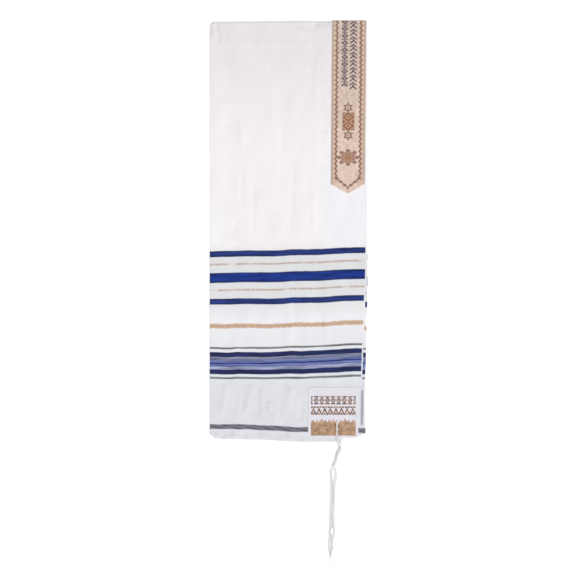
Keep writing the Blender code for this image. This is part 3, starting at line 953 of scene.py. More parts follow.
    def _end_stripe(self, graph: ClothGraph) -> tuple[Field, Field]:
        """The stripe by the hem, of two twisted tones.

        Args:
            graph: The cloth's nodes.

        Returns:
            The stripe's colour and its mask.
        """
        wander = graph.along + (graph.cloud(18, 6) - 0.5) * 3.0
        twist = (graph.along + graph.across * 0.20).beat(7.4)
        strand = abs(twist).below(1.9, 2.2) * graph.cloud(15, 5, 1.0).above(0.40, 0.25)
        return graph.mix(self.mauve, self.dark_mauve, strand), wander.between(*self.end_stripe_edges, 1.8)

    def _upright_mask(self, graph: ClothGraph) -> Field:
        """The part of a stripe that stands upright where the corner of the layer below is turned.

        Args:
            graph: The cloth's nodes.

        Returns:
            Its mask.
        """
        across, along = graph.split(graph.object_place())
        slimmer = (-250.0 - along).most(0.0) * 0.045
        return abs(across - self.upright_at + slimmer).below(3.2, 1.6) * along.between(-282.0, -207.0, 4.0)


@dataclass(frozen=True)
class Brocade:
    """The neckband's woven brocade, in millimetres across from its middle and up from its point."""

    border_at: float = 25.6
    border_period: float = 10.6
    border_swing: float = 1.9
    point_start: float = 12.0
    point_slope: float = 0.85
    beads_at: float = 30.6
    columns_from: float = 226.0
    lozenges_at: float = -8.9
    lozenge_period: float = 15.2
    chevrons_at: float = 9.5
    chevron_period: float = 8.2
    stars_at: tuple[float, float] = (184.0, 124.5)
    panel_at: float = 154.5
    panel_height: float = 37.8
    rosette_at: float = 77.0
    ground: Colour = (223, 200, 184)
    ground_upper: Colour = (202, 182, 168)
    fleck_yellow: Colour = (226, 206, 176)
    fleck_pink: Colour = (224, 190, 184)
    rim: Colour = (194, 162, 142)
    brown: Colour = (134, 98, 82)
    rose: Colour = (192, 150, 134)
    amber: Colour = (188, 140, 108)
    umber: Colour = (112, 76, 66)
    rust: Colour = (178, 124, 100)
    plum: Colour = (84, 66, 86)
    # Painted shade for the band's long edges, where they meet the cloth.
    edge: Colour = (186, 168, 152)
    bead: Colour = (220, 196, 176)

    def material(self) -> bpy.types.Material:
        """Builds the neckband's material.

        Returns:
            The material.
        """
        graph = ClothGraph("beige_brocade")
        across, up = graph.across, graph.along
        side = abs(across)
        diaper = (across + up).sine(3.4) * (across - up).sine(3.4)
        zigzag, outside, beads = self._border(side, up)
        fleck = graph.cloud(3.4, 3.4)
        colour = graph.mix(self.ground, self.ground_upper, up.above(200.0, 190.0))
        colour = graph.mix(colour, self.fleck_yellow, fleck.above(0.57, 0.10) * 0.6)
        colour = graph.mix(colour, self.fleck_pink, fleck.below(0.43, 0.10) * 0.6)
        colour = graph.shade(colour, 0.985 + diaper * 0.03)
        colour = graph.shade(colour, 0.60 + graph.cloud(8, 12, 3.0) * 0.80)
        colour = graph.mix(colour, self.rim, outside * 0.8)
        colour = graph.mix(colour, self.rust, outside * graph.cloud(4.0, 4.6).above(0.52, 0.10) * 0.55)
        colour = graph.mix(colour, self.bead, beads * 0.7)
        # Painted shade: the outermost strip along each long side of the band is darkened.
        colour = graph.mix(colour, self.edge, side.above(33.4, 2.4))
        raised = beads * 0.4
        for tone, mask in (
            (self.brown, zigzag),
            (self.plum, self._lozenge_column(across - self.lozenges_at, up)),
            (self.plum, self._chevron_column(across - self.chevrons_at, up)),
            (self.brown, self._star(across + 1.0, up - self.stars_at[0])),
            (self.brown, self._star(across, up - self.stars_at[1])),
            self._panel(graph, across, up - self.panel_at),
            self._rosette(graph, across, up - self.rosette_at),
        ):
            colour = graph.mix(colour, tone, mask)
            raised = raised.most(mask)
        thread = across.sine(0.8) * up.sine(0.8)
        relief = raised * 0.16 + thread * 0.03 + up.sine(1.6) * 0.025 + diaper * 0.03
        return graph.finish(colour, 0.66 - raised * 0.14, relief, Sheen_Weight=0.15, Specular_IOR_Level=0.35)

    def _border(self, side: Field, up: Field) -> tuple[Field, Field, Field]:
        """The brown zigzag up both sides and round the point, and the rim and the pale beads outside it.

        Args:
            side: The distance from the band's middle.
            up: The distance up from its point.

        Returns:
            The masks of the zigzag, the rim and the beads.
        """
        upright = side - self.border_at + (up.wave(self.border_period) - 0.5) * self.border_swing * 2
        slant = (self.point_start + side * self.point_slope - up) * 0.76
        slant = slant + (side.wave(8.6) - 0.5) * self.border_swing * 1.6
        distance = upright.most(slant)
        along_bead = (up - self.border_period / 2).beat(self.border_period) * 0.62
        beads = ((side - self.beads_at) * 0.9).length(along_bead).below(2.2, 1.4)
        return abs(distance).below(1.9, 2.0), distance.above(0.0, 2.0) * up.above(24.0, 14.0), beads

    def _lozenge_column(self, across: Field, up: Field) -> Field:
        """The left-hand column: ringed lozenges with a bar between each two.

        Args:
            across: The distance across from the column's middle.
            up: The distance up from the band's point.

        Returns:
            Its mask.
        """
        size = abs(across) / 7.6 + abs((up - 4.0).beat(self.lozenge_period)) / 6.4
        ring = abs(size - 0.74).below(0.26, 0.16)
        dot = size.below(0.26, 0.16)
        bar = abs((up - 11.6).beat(self.lozenge_period)).below(0.95, 0.9) * abs(across).below(6.8, 0.9)
        return ring.most(dot).most(bar) * up.above(self.columns_from + 4.0, 1.0)

    def _chevron_column(self, across: Field, up: Field) -> Field:
        """The right-hand column of chevrons, with a small square in every second one.

        Args:
            across: The distance across from the column's middle.
            up: The distance up from the band's point.

        Returns:
            Its mask.
        """
        side = abs(across)
        chevron = abs((up + side * 0.75).beat(self.chevron_period)).below(1.7, 1.0) * side.below(7.4, 0.9)
        square = side.most(abs((up - 2.0).beat(2 * self.chevron_period))).below(2.0, 0.9)
        return chevron.most(square) * up.above(self.columns_from - 3.0, 1.0)

    def _star(self, across: Field, up: Field) -> Field:
        """A six-pointed star in outline, with a dot in its middle.

        Args:
            across: The distance across from its middle.
            up: The distance up from its middle.

        Returns:
            Its mask.
        """
        lean, half = abs(across) * 0.866, up * 0.5
        upward = (lean + half).most(-up)
        downward = (lean - half).most(up)
        outline = abs(upward - 5.2).least(abs(downward - 5.2)).below(1.1, 0.9)
        inside = upward.least(downward).below(6.1, 0.9)
        return (outline * inside).most(across.length(up).below(1.9, 0.9))

    def _panel(self, graph: ClothGraph, across: Field, up: Field) -> tuple[Field, Field]:
        """A panel of nested lozenges with toothed sides, amber with umber lines.

        Args:
            graph: The band's nodes.
            across: The distance across from its middle.
            up: The distance up from its middle.

        Returns:
            Its colour and its mask.
        """
        half_height = self.panel_height / 2
        from_side, from_middle = abs(across) + up.wave(self.panel_height / 6) * 1.6, abs(up)
        size = abs(across) / 12.6 + abs((up - half_height / 2).beat(half_height)) / (half_height / 2)
        line = abs(size - 0.82).below(0.17, 0.14).most(size.below(0.22, 0.14)).most(size.above(1.5, 0.2))
        rim = from_side.above(12.4, 0.8).most(from_middle.above(half_height - 1.1, 0.8))
        tone = graph.mix(self.amber, self.umber, line.most(rim) * 0.85)
        return tone, from_side.below(13.6, 0.8) * from_middle.below(half_height, 0.8)

    def _rosette(self, graph: ClothGraph, across: Field, up: Field) -> tuple[Field, Field]:
        """A wide rosette of pointed petals in two rings.

        Args:
            graph: The band's nodes.
            across: The distance across from its middle.
            up: The distance up from its middle.

        Returns:
            Its colour and its mask.
        """
        wide = across * 0.74
        radius = wide.length(up)
        angle = up.math("ARCTAN2", wide)
        petal = abs((angle * 4.0).math("COSINE"))
        inner_petal = abs((angle * 4.0).math("SINE"))
        outer = petal * 8.0 + 10.4 - radius
        inner = inner_petal * 4.6 + 5.6 - radius
        outline = abs(outer - 1.2).below(0.9, 0.7)
        ring = abs(inner - 0.4).below(0.8, 0.7).most(abs(radius - 3.2).below(0.8, 0.7))
        vein = petal.above(0.93, 0.06) * radius.between(10.0, 16.0, 1.0)
        tone = graph.mix(self.rose, self.amber, inner.above(0.0, 1.0))
        tone = graph.mix(tone, self.umber, outline.most(ring).most(vein) * 0.85)
        return tone, outer.above(0.0, 1.2)


@dataclass(frozen=True)
class PatchSatin:
    """The corner patch's pale satin with gold-brown stitching, in millimetres from its lower left corner."""

    ground: Colour = (224, 222, 232)
    border: Colour = (232, 232, 238)
    gold: Colour = (184, 152, 122)
    bronze: Colour = (142, 104, 82)
    plum: Colour = (96, 70, 82)
    rust: Colour = (196, 132, 104)
    blush: Colour = (222, 188, 172)
    side: float = 107.0
    height: float = 108.0
    knot_row_at: float = 80.6
    step_row_at: float = 57.4
    row_period: float = 12.1
    lattice: float = 8.5

    def material(self) -> bpy.types.Material:
        """Builds the patch's material.

        Returns:
            The material.
        """
        graph = ClothGraph("patch_satin")
        across, up = graph.across, graph.along
        inner = across.between(5.6, self.side - 5.0, 0.8)
        knots = self._knot_row(across, up - self.knot_row_at)
        rows = knots.most(self._step_row(across, up - self.step_row_at)) * inner
        patchy = graph.cloud(9.0, 7.0)
        stitched = graph.mix(self.bronze, self.plum, graph.cloud(3.0, 2.0, 3.0).above(0.53, 0.10) * 0.8)
        stitched = graph.mix(stitched, self.gold, patchy.above(0.56, 0.10) * 0.6)
        golden, field_mask = self._gold_field(graph)
        field_mask = field_mask * inner
        colour = graph.shade(self.ground, 0.96 + graph.cloud(14, 14, 3.0) * 0.08)
        colour = graph.mix(colour, graph.shade(stitched, 0.05 + patchy * 1.8), rows)
        colour = graph.mix(colour, golden, field_mask)
        from_edge = across.least(self.side - across).least(up).least(self.height - up)
        colour = graph.mix(colour, self.border, from_edge.below(3.4, 0.6))
        raised = rows.most(field_mask)
        slant = (across + up * 0.5).sine(1.1)
        relief = raised * (0.22 + slant * 0.05) + across.sine(0.7) * 0.02
        return graph.finish(colour, 0.55 - raised * 0.08, relief, raised * 0.10, Specular_IOR_Level=0.4)

    def _knot_row(self, across: Field, up: Field) -> Field:
        """The upper row: ringed lozenges between two broken rules.

        Args:
            across: The distance across the patch.
            up: The distance up from the row's middle.

        Returns:
            Its mask.
        """
        at = (across - self.side / 2).beat(self.row_period)
        size = abs(at) / 5.9 + abs(up) / 6.6
        lozenge = abs(size - 0.72).below(0.30, 0.16).most(size.below(0.22, 0.12))
        return lozenge.most(abs(abs(up) - 7.4).below(1.6, 0.9) * abs(at).below(5.0, 0.8))

    def _step_row(self, across: Field, up: Field) -> Field:
        """The lower row: a heavy zigzag under a rule, with a square in each bend.

        Args:
            across: The distance across the patch.
            up: The distance up from the row's middle.

        Returns:
            Its mask.
        """
        from_middle, half = across - self.side / 2, self.row_period / 2
        line = abs(up - (from_middle.wave(self.row_period) * 13.0 - 8.4)).below(3.5, 1.2)
        square = abs((from_middle + half).beat(self.row_period)).most(abs(up + 6.0)).below(2.2, 0.8)
        rule = abs(up - 8.2).below(1.8, 0.9) * abs((from_middle + 3.0).beat(half)).below(2.3, 0.8)
        return (line * abs(up).below(8.6, 0.8)).most(square).most(rule)

    def _gold_field(self, graph: ClothGraph) -> tuple[Field, Field]:
        """The gold field below: a lattice of lozenges under a row of teeth.

        Args:
            graph: The patch's nodes.

        Returns:
            The field's colour and its mask.
        """
        from_middle, up = graph.across - self.side / 2, graph.along
        first, second = (abs(line.beat(self.lattice)) for line in (from_middle + up, from_middle - up))
        lattice = first.least(second).below(0.9, 0.9)
        fleck, patchy = graph.cloud(3.0, 2.0, 3.0), graph.cloud(9.0, 7.0)
        colour = graph.mix(self.gold, self.bronze, patchy.below(0.47, 0.14) * 0.5)
        colour = graph.mix(colour, self.rust, fleck.above(0.58, 0.08) * 0.5)
        colour = graph.mix(colour, self.bronze, lattice * 0.32)
        lit = fleck * 1.1 + graph.cloud(15.0, 11.0, 3.0) * 1.9 + up.above(7.0, 5.0) * 0.08 - 0.58
        colour = graph.mix(graph.shade(colour, lit), self.blush, up.above(35.0, 9.0) * 0.6)
        ragged = (graph.cloud(4.0, 40.0, 1.0) - 0.5) * 9.0
        teeth = from_middle.wave(self.lattice) * 5.2 + from_middle.wave(3 * self.lattice) * 3.0
        return colour, (up + teeth + ragged).below(41.0, 1.4) * up.above(4.6, 0.8)


@dataclass(frozen=True)
class Wool:
    """Twisted white wool or cotton thread."""

    name: str
    colour: Colour
    fleck: float = 0.10

    def material(self) -> bpy.types.Material:
        """Builds the thread's material.

        Returns:
            The material.
        """
        graph = MaterialGraph(self.name)
        place = graph.object_place()
        mottle = 1.0 - self.fleck + graph.noise(place, (6, 9, 6), 3.0) * self.fleck * 2
        fibre = graph.noise(place, (0.5, 0.9, 0.5), 2.0)
        colour = graph.shade(self.colour, mottle)
        return graph.finish(colour, 0.88, fibre * 0.10, Sheen_Weight=0.2, Specular_IOR_Level=0.2)


@dataclass(frozen=True)
class Paint:
    """A plain even finish for the floor, as pale as a grey from 0 to 1."""

    name: str
    pale: float
    glow: float

    def material(self) -> bpy.types.Material:
        """Builds the floor's material: a pale sheet, lit a little from behind, with a slight unevenness.

        Returns:
            The material.
        """
        graph = MaterialGraph(self.name)
        cloud = graph.noise(graph.object_place(), (400, 400, 400), 1.0)
        colour = graph.grey((0.995 + cloud * 0.01) * self.pale)
        glow = {"Emission_Color": (1.0, 1.0, 1.0, 1.0), "Emission_Strength": self.glow}
        return graph.finish(colour, 0.9, Specular_IOR_Level=0.1, **glow)


WHITE_THREAD = Wool("white_thread", (236, 234, 237), 0.04)
TAN_THREAD = Wool("tan_thread", (204, 182, 168), 0.06)
TASSEL_WOOL = Wool("tassel_wool", (245, 245, 246), 0.06)


class NodeGroup(NodeBuilder):
    """A Geometry Nodes tree with named inputs."""

    def __init__(self, name: str, inputs: dict[str, Any]) -> None:
        """Starts a tree that takes and gives geometry.

        Args:
            name: The tree's name.
            inputs: The usual value of each input, or None for a material.
        """
        super().__init__(bpy.data.node_groups.new(name, "GeometryNodeTree"))
        face = self.tree.interface
        face.new_socket("Geometry", in_out="INPUT", socket_type="NodeSocketGeometry")
        for label, value in inputs.items():
            socket = face.new_socket(label, in_out="INPUT", socket_type=SOCKET_KINDS[type(value)])
            if value is not None:
                socket.default_value = value
        face.new_socket("Geometry", in_out="OUTPUT", socket_type="NodeSocketGeometry")
        self.given = self.tree.nodes.new("NodeGroupInput")
        self.result = self.tree.nodes.new("NodeGroupOutput")

    def input(self, label: str) -> bpy.types.NodeSocket:
        """The socket of a named input inside the tree."""
        return self.given.outputs[label]

    def finish(self, geometry: bpy.types.Node) -> None:
        """Realizes the instances, sets the material and ends the tree.

        Args:
            geometry: The node that gives what the tree has made.
        """
        real = self.node("GeometryNodeRealizeInstances", {0: geometry})
        smooth = self.node("GeometryNodeSetShadeSmooth", {0: real, "Shade Smooth": True})
        dressed = self.node("GeometryNodeSetMaterial", {0: smooth, "Material": self.input("Material")})
        self.fill(self.result.inputs[0], dressed)

    def build(self, name: str, paths: Sequence[np.ndarray], values: dict[str, Any]) -> bpy.types.Object:
        """Runs the tree along some paths and keeps the result as a plain mesh.

        Args:
            name: The new object's name.
            paths: The lines that the tree follows, as rows of points.
            values: The values of the tree's inputs.

        Returns:
            The object.
        """
        points, edges = [], []
        for path in paths:
            edges.extend((len(points) + n, len(points) + n + 1) for n in range(len(path) - 1))
            points.extend(path.tolist())
        mesh = bpy.data.meshes.new(name + "_guide")
        mesh.from_pydata(points, edges, [])
        guide = place_object(name + "_guide", mesh)
        modifier = guide.modifiers.new(name, "NODES")
        modifier.node_group = self.tree
        for item in self.tree.interface.items_tree:
            if item.in_out == "INPUT" and item.name in values:
                modifier[item.identifier] = values[item.name]
        graph = bpy.context.evaluated_depsgraph_get()
        result = bpy.data.meshes.new_from_object(guide.evaluated_get(graph))
        result.name = name
        bpy.data.objects.remove(guide)
        return place_object(name, result)


def stitch_tree() -> NodeGroup:
    """Stitches set along a line, each lying at its own slant to it.

    Returns:
        The tree.
    """
    group = NodeGroup("stitch_row", {
        "Spacing": 3.0 * MM,
        "Length": 2.2 * MM,
        "Width": 0.5 * MM,
        "Height": 0.35 * MM,
        "Slant": 0.0,
        "Unevenness": 0.05,
        "Seed": 3,
        "Material": None,
    })
    line = group.node("GeometryNodeMeshToCurve", {0: group.input("Geometry")})
    row = group.node(
        "GeometryNodeCurveToPoints", {"Curve": line, "Length": group.input("Spacing")}, mode="LENGTH"
    )
    along = group.node(
        "FunctionNodeAlignRotationToVector", {"Vector": row.outputs["Tangent"]}, axis="X", pivot_axis="AUTO"
    )
    low = group.maths("MULTIPLY", group.input("Unevenness"), -1.0)
    limits = {2: low, 3: group.input("Unevenness"), "Seed": group.input("Seed")}
    wobble = group.node("FunctionNodeRandomValue", limits, data_type="FLOAT")
    slant = group.maths("ADD", group.input("Slant"), wobble.outputs[1])
    turn = group.node("ShaderNodeCombineXYZ", {2: slant})
    as_rotation = group.node("FunctionNodeEulerToRotation", {0: turn})
    lying = group.node("FunctionNodeRotateRotation", {0: along, 1: as_rotation}, rotation_space="LOCAL")
    thread = group.node("GeometryNodeMeshUVSphere", {"Segments": 6, "Rings": 5, "Radius": 0.5})
    size = group.node("ShaderNodeCombineXYZ", {
        0: group.input("Length"), 1: group.input("Width"), 2: group.input("Height"),
    })
    group.finish(group.node("GeometryNodeInstanceOnPoints", {
        "Points": row.outputs["Points"], "Instance": thread, "Rotation": lying, "Scale": size,
    }))
    return group


class Stitch(NamedTuple):
    """A row of stitches: its spacing and their size in millimetres, and their slant and its unevenness."""

    spacing: float
    length: float
    width: float
    height: float
    slant: float = 0.0
    unevenness: float = 0.05

    def sew(self, tree: NodeGroup, name: str, paths: Sequence[np.ndarray]) -> bpy.types.Object:
        """Sews the stitches along some lines.

        Args:
            tree: The stitches' tree.
            name: The new object's name.
            paths: The lines.

        Returns:
            The object.
        """
        sizes = (self.spacing, self.length, self.width, self.height)
        values = {label: size * MM for label, size in zip(("Spacing", "Length", "Width", "Height"), sizes)}
        return tree.build(name, paths, {**values, "Slant": self.slant, "Unevenness": self.unevenness})


def cord_tree(plies: int) -> NodeGroup:
    """A cord of twisted plies along a line.

    Args:
        plies: How many plies are twisted together.

    Returns:
        The tree.
    """
    group = NodeGroup(f"twisted_cord_{plies}", {
        "Step": 0.5 * MM,
        "Pitch": 4.0 * MM,
        "Ply Offset": 0.4 * MM,
        "Ply Radius": 0.45 * MM,
        "Sides": 6,
        "Material": None,
    })
    line = group.node("GeometryNodeMeshToCurve", {0: group.input("Geometry")})
    even = group.node(
        "GeometryNodeResampleCurve", {"Curve": line, "Length": group.input("Step")}, mode="LENGTH"
    )
    place = group.node("GeometryNodeSplineParameter")
    tangent = group.node("GeometryNodeInputTangent")
    normal = group.node("GeometryNodeInputNormal")
    across = group.vector("CROSS_PRODUCT", {0: tangent, 1: normal})
    turns = group.maths("DIVIDE", place.outputs["Length"], group.input("Pitch"))
    ring = group.node(
        "GeometryNodeCurvePrimitiveCircle",
        {"Resolution": group.input("Sides"), "Radius": group.input("Ply Radius")}, mode="RADIUS",
    )
    joined = group.node("GeometryNodeJoinGeometry")
    for ply in range(plies):
        angle = group.maths("MULTIPLY_ADD", turns, 2 * math.pi, 2 * math.pi * ply / plies)
        parts = []
        for direction, operation in ((normal, "COSINE"), (across, "SINE")):
            reach = group.maths("MULTIPLY", group.maths(operation, angle), group.input("Ply Offset"))
            parts.append(group.vector("SCALE", {0: direction, "Scale": reach}))
        offset = group.vector("ADD", dict(enumerate(parts)))
        moved = group.node("GeometryNodeSetPosition", {"Geometry": even, "Offset": offset})
        tube = group.node("GeometryNodeCurveToMesh", {
            "Curve": moved, "Profile Curve": ring, "Fill Caps": True,
        })
        group.fill(joined.inputs[0], tube)
    group.finish(joined)
    return group


def dress(piece: bpy.types.Object, material: bpy.types.Material) -> bpy.types.Object:
    """Gives a piece its one material and its body.

    Args:
        piece: The piece.
        material: Its material.

    Returns:
        The piece.
    """
    piece.data.materials.clear()
    piece.data.materials.append(material)
    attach(piece, BODY)
    LOG.info("%s: %d faces", piece.name, len(piece.data.polygons))
    return piece


@dataclass
class FrontLayer:
    """The layer that shows, rolled over the lengthwise fold and over the neck fold."""

    form: ShawlForm = FORM
    cell: float = 2.9 * MM
    corner_steps: int = 6
    roll_steps: int = 12
    roll_turn: float = math.radians(155)
    corner_ease: float = 26 * MM
    wall: float = 0.95 * MM
    stitch: Stitch = Stitch(3.4, 2.5, 0.45, 0.34)
    hem_inset: float = 1.5 * MM
    side_inset: float = 2.6 * MM
    hem_sewn: tuple[float, float] = (0.03, 0.985)
    side_stops: tuple[float, float] = (24 * MM, 8 * MM)
    side_sewn_to: float = 0.212
    stitches: NodeGroup | None = None

    def __post_init__(self) -> None:
        """Works out the stations of the grid, closer together at the corner of the folds."""
        self.width = float(self.form.right_edge(0.0)) - self.form.flat_left_x
        self.length = self.form.flat_top_y - self.form.hem_y
        self.columns, self.rows = self._stations(self.width), self._stations(self.length)

    def _stations(self, reach: float) -> np.ndarray:
        """The places of the grid's lines along one of its sides.

        Args:
            reach: The side's length.

        Returns:
            Shares of it: close steps in the folds' corner, and then even ones.
        """
        radius = self.form.corner_radius
        corner = [radius * n / self.corner_steps for n in range(self.corner_steps + 1)]
        count = round((reach - radius) / self.cell)
        even = radius + (reach - radius) * np.arange(1, count + 1) / count
        return np.concatenate((corner, even)) / reach

    def outline(self, i: int, j: int) -> tuple[Vector, Vector, float]:
        """The folds' outermost point at a border station.

        Args:
            i: The station's column.
            j: Its row.

        Returns:
            The point in plan, its outward direction, and the neck fold's share.
        """
        x, y = self.form.flat_point(self.columns[i], self.rows[j])
        from_corner = max(self.columns[i] * self.width, self.rows[j] * self.length)
        return self.form.fold_outline(float(x), float(y), from_corner, j == 0)

    def _roll_start(self, i: int, j: int) -> tuple[Vector, Vector, float]:
        """The start of the roll at a border station.

        Args:
            i: The station's column.
            j: Its row.

        Returns:
            The point in plan, its outward direction, and the roll's radius.
        """
        point, outward, neck = self.outline(i, j)
        radius = self.form.fold_roll + (self.form.neck_roll - self.form.fold_roll) * neck
        radius += self.form.corner_roll * 4 * neck * (1 - neck)
        return point - outward * radius, outward, radius

    def _plan(self) -> np.ndarray:
        """The flat cloth's points in plan, drawn in round the corner of the folds.

        Returns:
            Their x and y, by rows and columns.
        """
        columns, rows = len(self.columns), len(self.rows)
        x, y = self.form.flat_point(self.columns[None, :], self.rows[:, None])
        flat = np.stack(np.broadcast_arrays(x, y), axis=-1)
        left = np.array([tuple(self._roll_start(0, j)[0]) for j in range(rows)]) - flat[:, 0]
        top = np.array([tuple(self._roll_start(i, 0)[0]) for i in range(columns)]) - flat[0, :]
        near_left = ease(1 - self.columns * self.width / self.corner_ease)[None, :, None]
        near_top = ease(1 - self.rows * self.length / self.corner_ease)[:, None, None]
        shift = left[:, None] * near_left + top[None, :] * near_top - left[0] * near_left * near_top
        return flat + shift

    def sheet(self) -> Sheet:
        """The outer face.

        Returns:
            The face as an open sheet, with its two rolls.
        """
        columns, rows = len(self.columns), len(self.rows)
        plan = self._plan()
        x, y = plan[..., 0], plan[..., 1]
        points = [np.dstack((plan, self.form.height(x, y))).reshape(-1, 3)]
        cloth = [np.dstack((x - self.form.stripes_end(y), y - self.form.lift(x, y))).reshape(-1, 2)]
        quads = [grid_quads(columns, rows)]
        border = [(0, j) for j in range(rows - 1, 0, -1)] + [(i, 0) for i in range(columns)]
        previous = np.array([j * columns + i for i, j in border])
        start, start_cloth = points[0][previous], cloth[0][previous]
        directions = [self._roll_start(i, j) for i, j in border]
        outward = np.array([tuple(item[1]) for item in directions])
        radius = np.array([[item[2]] for item in directions])
        total = columns * rows
        for step in range(1, self.roll_steps + 1):
            angle = self.roll_turn * step / self.roll_steps
            points.append(rolled(start, outward, radius, angle))
            cloth.append(start_cloth + outward * (radius * angle))
            fresh = total + np.arange(len(border))
            quads.append(np.column_stack((previous[:-1], previous[1:], fresh[1:], fresh[:-1])))
            previous = fresh
            total += len(border)
        joined = np.concatenate(points)
        joined[:, 1] += self.form.droop(joined[:, 0], joined[:, 1])
        return Sheet(joined, np.concatenate(quads), np.concatenate(cloth))

    def build(self) -> None:
        """Makes and dresses the layer with its stitched hems."""
        piece = self.sheet().thickened("front_cloth", self.wall)
        dress(piece, StripedCloth("striped_cloth").material())
        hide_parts("front_layer")
        hem = dress(self._hem_stitches(), WHITE_THREAD.material())
        flat = (self.form.width + 2 * self.form.fold_roll, self.form.cut_length / 2 + 2 * self.form.neck_roll)

    def _hem_stitches(self) -> bpy.types.Object:
        """The running stitches along the hem and the open side.

        Returns:
            The stitches.
        """
        form = self.form
        across = np.linspace(*self.hem_sewn, 90)
        y = form.hem_line(across) + form.hem_width - self.hem_inset
        x = form.across_x(across, y)
        hem = np.column_stack((x, y, form.height(x, y) + 0.10 * MM))
        y = np.linspace(form.neck_y - self.side_stops[0], form.hem_y + self.side_stops[1], 240)
        y = y[y < self.side_sewn_to]
        x = form.right_edge(y) - self.side_inset
        side = np.column_stack((x, y, form.height(x, y) + 0.02 * MM))
        return self.stitch.sew(self.stitches, "hem_stitches", [hem, side])


@dataclass
class HiddenLayers:
    """The three layers under the front one, which show as layered edges."""

    form: ShawlForm = FORM
    step: float = 4.0 * MM
    layers: int = 3
    lip_points: int = 7
    groove: float = 5.5
    corner_tuck: float = 20.0
    seat: float = 0.35 * MM
    slip: tuple[float, ...] = (0.6, -0.4, 0.0)
    edge_set: tuple[float, ...] = (1.6, 3.2, 0.4)
    cover: tuple[tuple[float, float], ...] = ((3.0, 0.15), (7.0, 0.15), (12.0, 0.15), (17.0, 1.6))
    lowest_cover: float = 0.4 * MM
    wander_seed: int = 11
    wander_lengths: tuple[float, ...] = (0.31, 0.14, 0.055)
    wander_scale: float = 0.45
    wander_most: float = 1.4
    slip_heights: tuple[float, ...] = (0.590, 0.000, -0.070, -0.130, -0.230, -0.286)
    slips: tuple[float, ...] = (-6.7 * MM, -6.7 * MM, -5.0 * MM, -1.2 * MM, -1.2 * MM, -8.8 * MM)

    def _open_profile(self) -> tuple[np.ndarray, np.ndarray, np.ndarray]:
        """The profile of an open side, from the surface that it lies on up.

        Returns:
            Each point's inset in millimetres, its level from 0 to 1, and its layer's number.
        """
        inset, level, number = [], [], []
        for layer in range(self.layers):
            middle, half = (layer + 0.5) / self.layers, 0.46 / self.layers
            if layer:
                inset.append(self.groove)
                level.append(middle - half)
            for angle in np.linspace(0, math.pi, self.lip_points):
                inset.append(self.edge_set[layer] + 0.8 * (1 - math.sin(angle)))
                level.append(middle - half * math.cos(angle))
            if layer < self.layers - 1:
                inset.append(self.groove)
                level.append(middle + half)
            number.extend([layer] * (len(inset) - len(number)))
        return np.array(inset), np.array(level), np.array(number)

    def _fold_profile(self, count: int) -> tuple[np.ndarray, np.ndarray]:
        """The profile of the lengthwise fold: the lower pair's nose, and the inner fold above it.

        Args:
            count: How many points it has.

        Returns:
            Each point's inset in millimetres and its level from 0 to 1.
        """
        turn = np.linspace(0, math.pi, count - count // 3)
        nose_inset = 2.2 * (1 - np.sin(turn) ** 0.7) + 0.1
        nose_level = 0.255 * (1 - np.cos(turn))
        inner = np.linspace(0, 1, count // 3)
        return np.append(nose_inset, 3.5 + 0.5 * inner**2), np.append(nose_level, 0.54 + 0.46 * inner)

    def _neck_profile(self, count: int) -> tuple[np.ndarray, np.ndarray]:
        """The profile of the neck fold, inside the front layer's roll."""
        turn = np.linspace(0, math.pi, count)
        return 1.75 + 2.95 * (1 - np.sin(turn)), 0.5 * (1 - np.cos(turn))

    def _border(self) -> tuple[np.ndarray, np.ndarray, np.ndarray]:
        """The layers' border, from the hem's left end round the folds, down the open side and along the hem.

        Returns:
            Its points in plan, the neck fold's share at each, and the open sides' share, both as columns.
        """
        layer = FrontLayer(cell=self.step)
        stations = [(0, j) for j in range(len(layer.rows) - 1, 0, -1)]
        stations += [(i, 0) for i in range(len(layer.columns))]
        folds = [layer.outline(i, j) for i, j in stations]
        plan = [tuple(point) for point, _, _ in folds]
        for across, down in ((1.0, layer.rows[1:]), (layer.columns[-2:0:-1], 1.0)):
            plan.extend(zip(*self.form.flat_point(across, down, Layer.UNDER)))
        neck = np.zeros((len(plan), 1))
        neck[: len(folds), 0] = [share for _, _, share in folds]
        openness = np.ones((len(plan), 1))
        openness[: len(folds)] = 0.0
        return np.array(plan), neck, openness

    def build(self) -> None:
        """Makes and dresses the hidden layers."""
        plan, neck, openness = self._border()
        middle = np.array((0.0, (self.form.neck_y + self.form.hem_y) / 2))
        half = np.array((self.form.width, self.form.neck_y - self.form.hem_y)) / 2
        inset, level, number = self._open_profile()
        fold_inset, fold_level = self._fold_profile(len(inset))
        neck_inset, neck_level = self._neck_profile(len(inset))
        wander = self._wander(plan, number)
        open_inset = inset[None, :] + wander * (inset < self.groove)[None, :]
        folds_inset = fold_inset + (neck_inset - fold_inset) * neck + self.corner_tuck * neck * (1 - neck)
        all_inset = (folds_inset + (open_inset - folds_inset) * openness) * MM
        folds_level = fold_level + (neck_level - fold_level) * neck
        all_level = folds_level + (level - folds_level) * openness
        rings = []
        for n in range(len(inset)):
            at = middle + (plan - middle) * (1 - all_inset[:, n : n + 1] / half)
            top = self._top(at) - self.seat * (2 - openness[:, 0])
            rings.append(np.column_stack((at, all_level[:, n] * top)))
        for depth, sink in self.cover:
            at = middle + (plan - middle) * (1 - (all_inset[:, -1:] + depth * MM) / half)
            rings.append(np.column_stack((at, np.maximum(self._top(at) - sink * MM, self.lowest_cover))))
        self._mesh(rings, [*number, *[self.layers - 1] * len(self.cover)])

    def _top(self, at: np.ndarray) -> np.ndarray:
        """The hidden layers' upper face at some points in plan, pressed down where the front layer dips."""
        dip = np.minimum(self.form.relief(at[:, 0], at[:, 1]), 0.0)
        return self.form.pile_height(at[:, 0], at[:, 1]) + dip

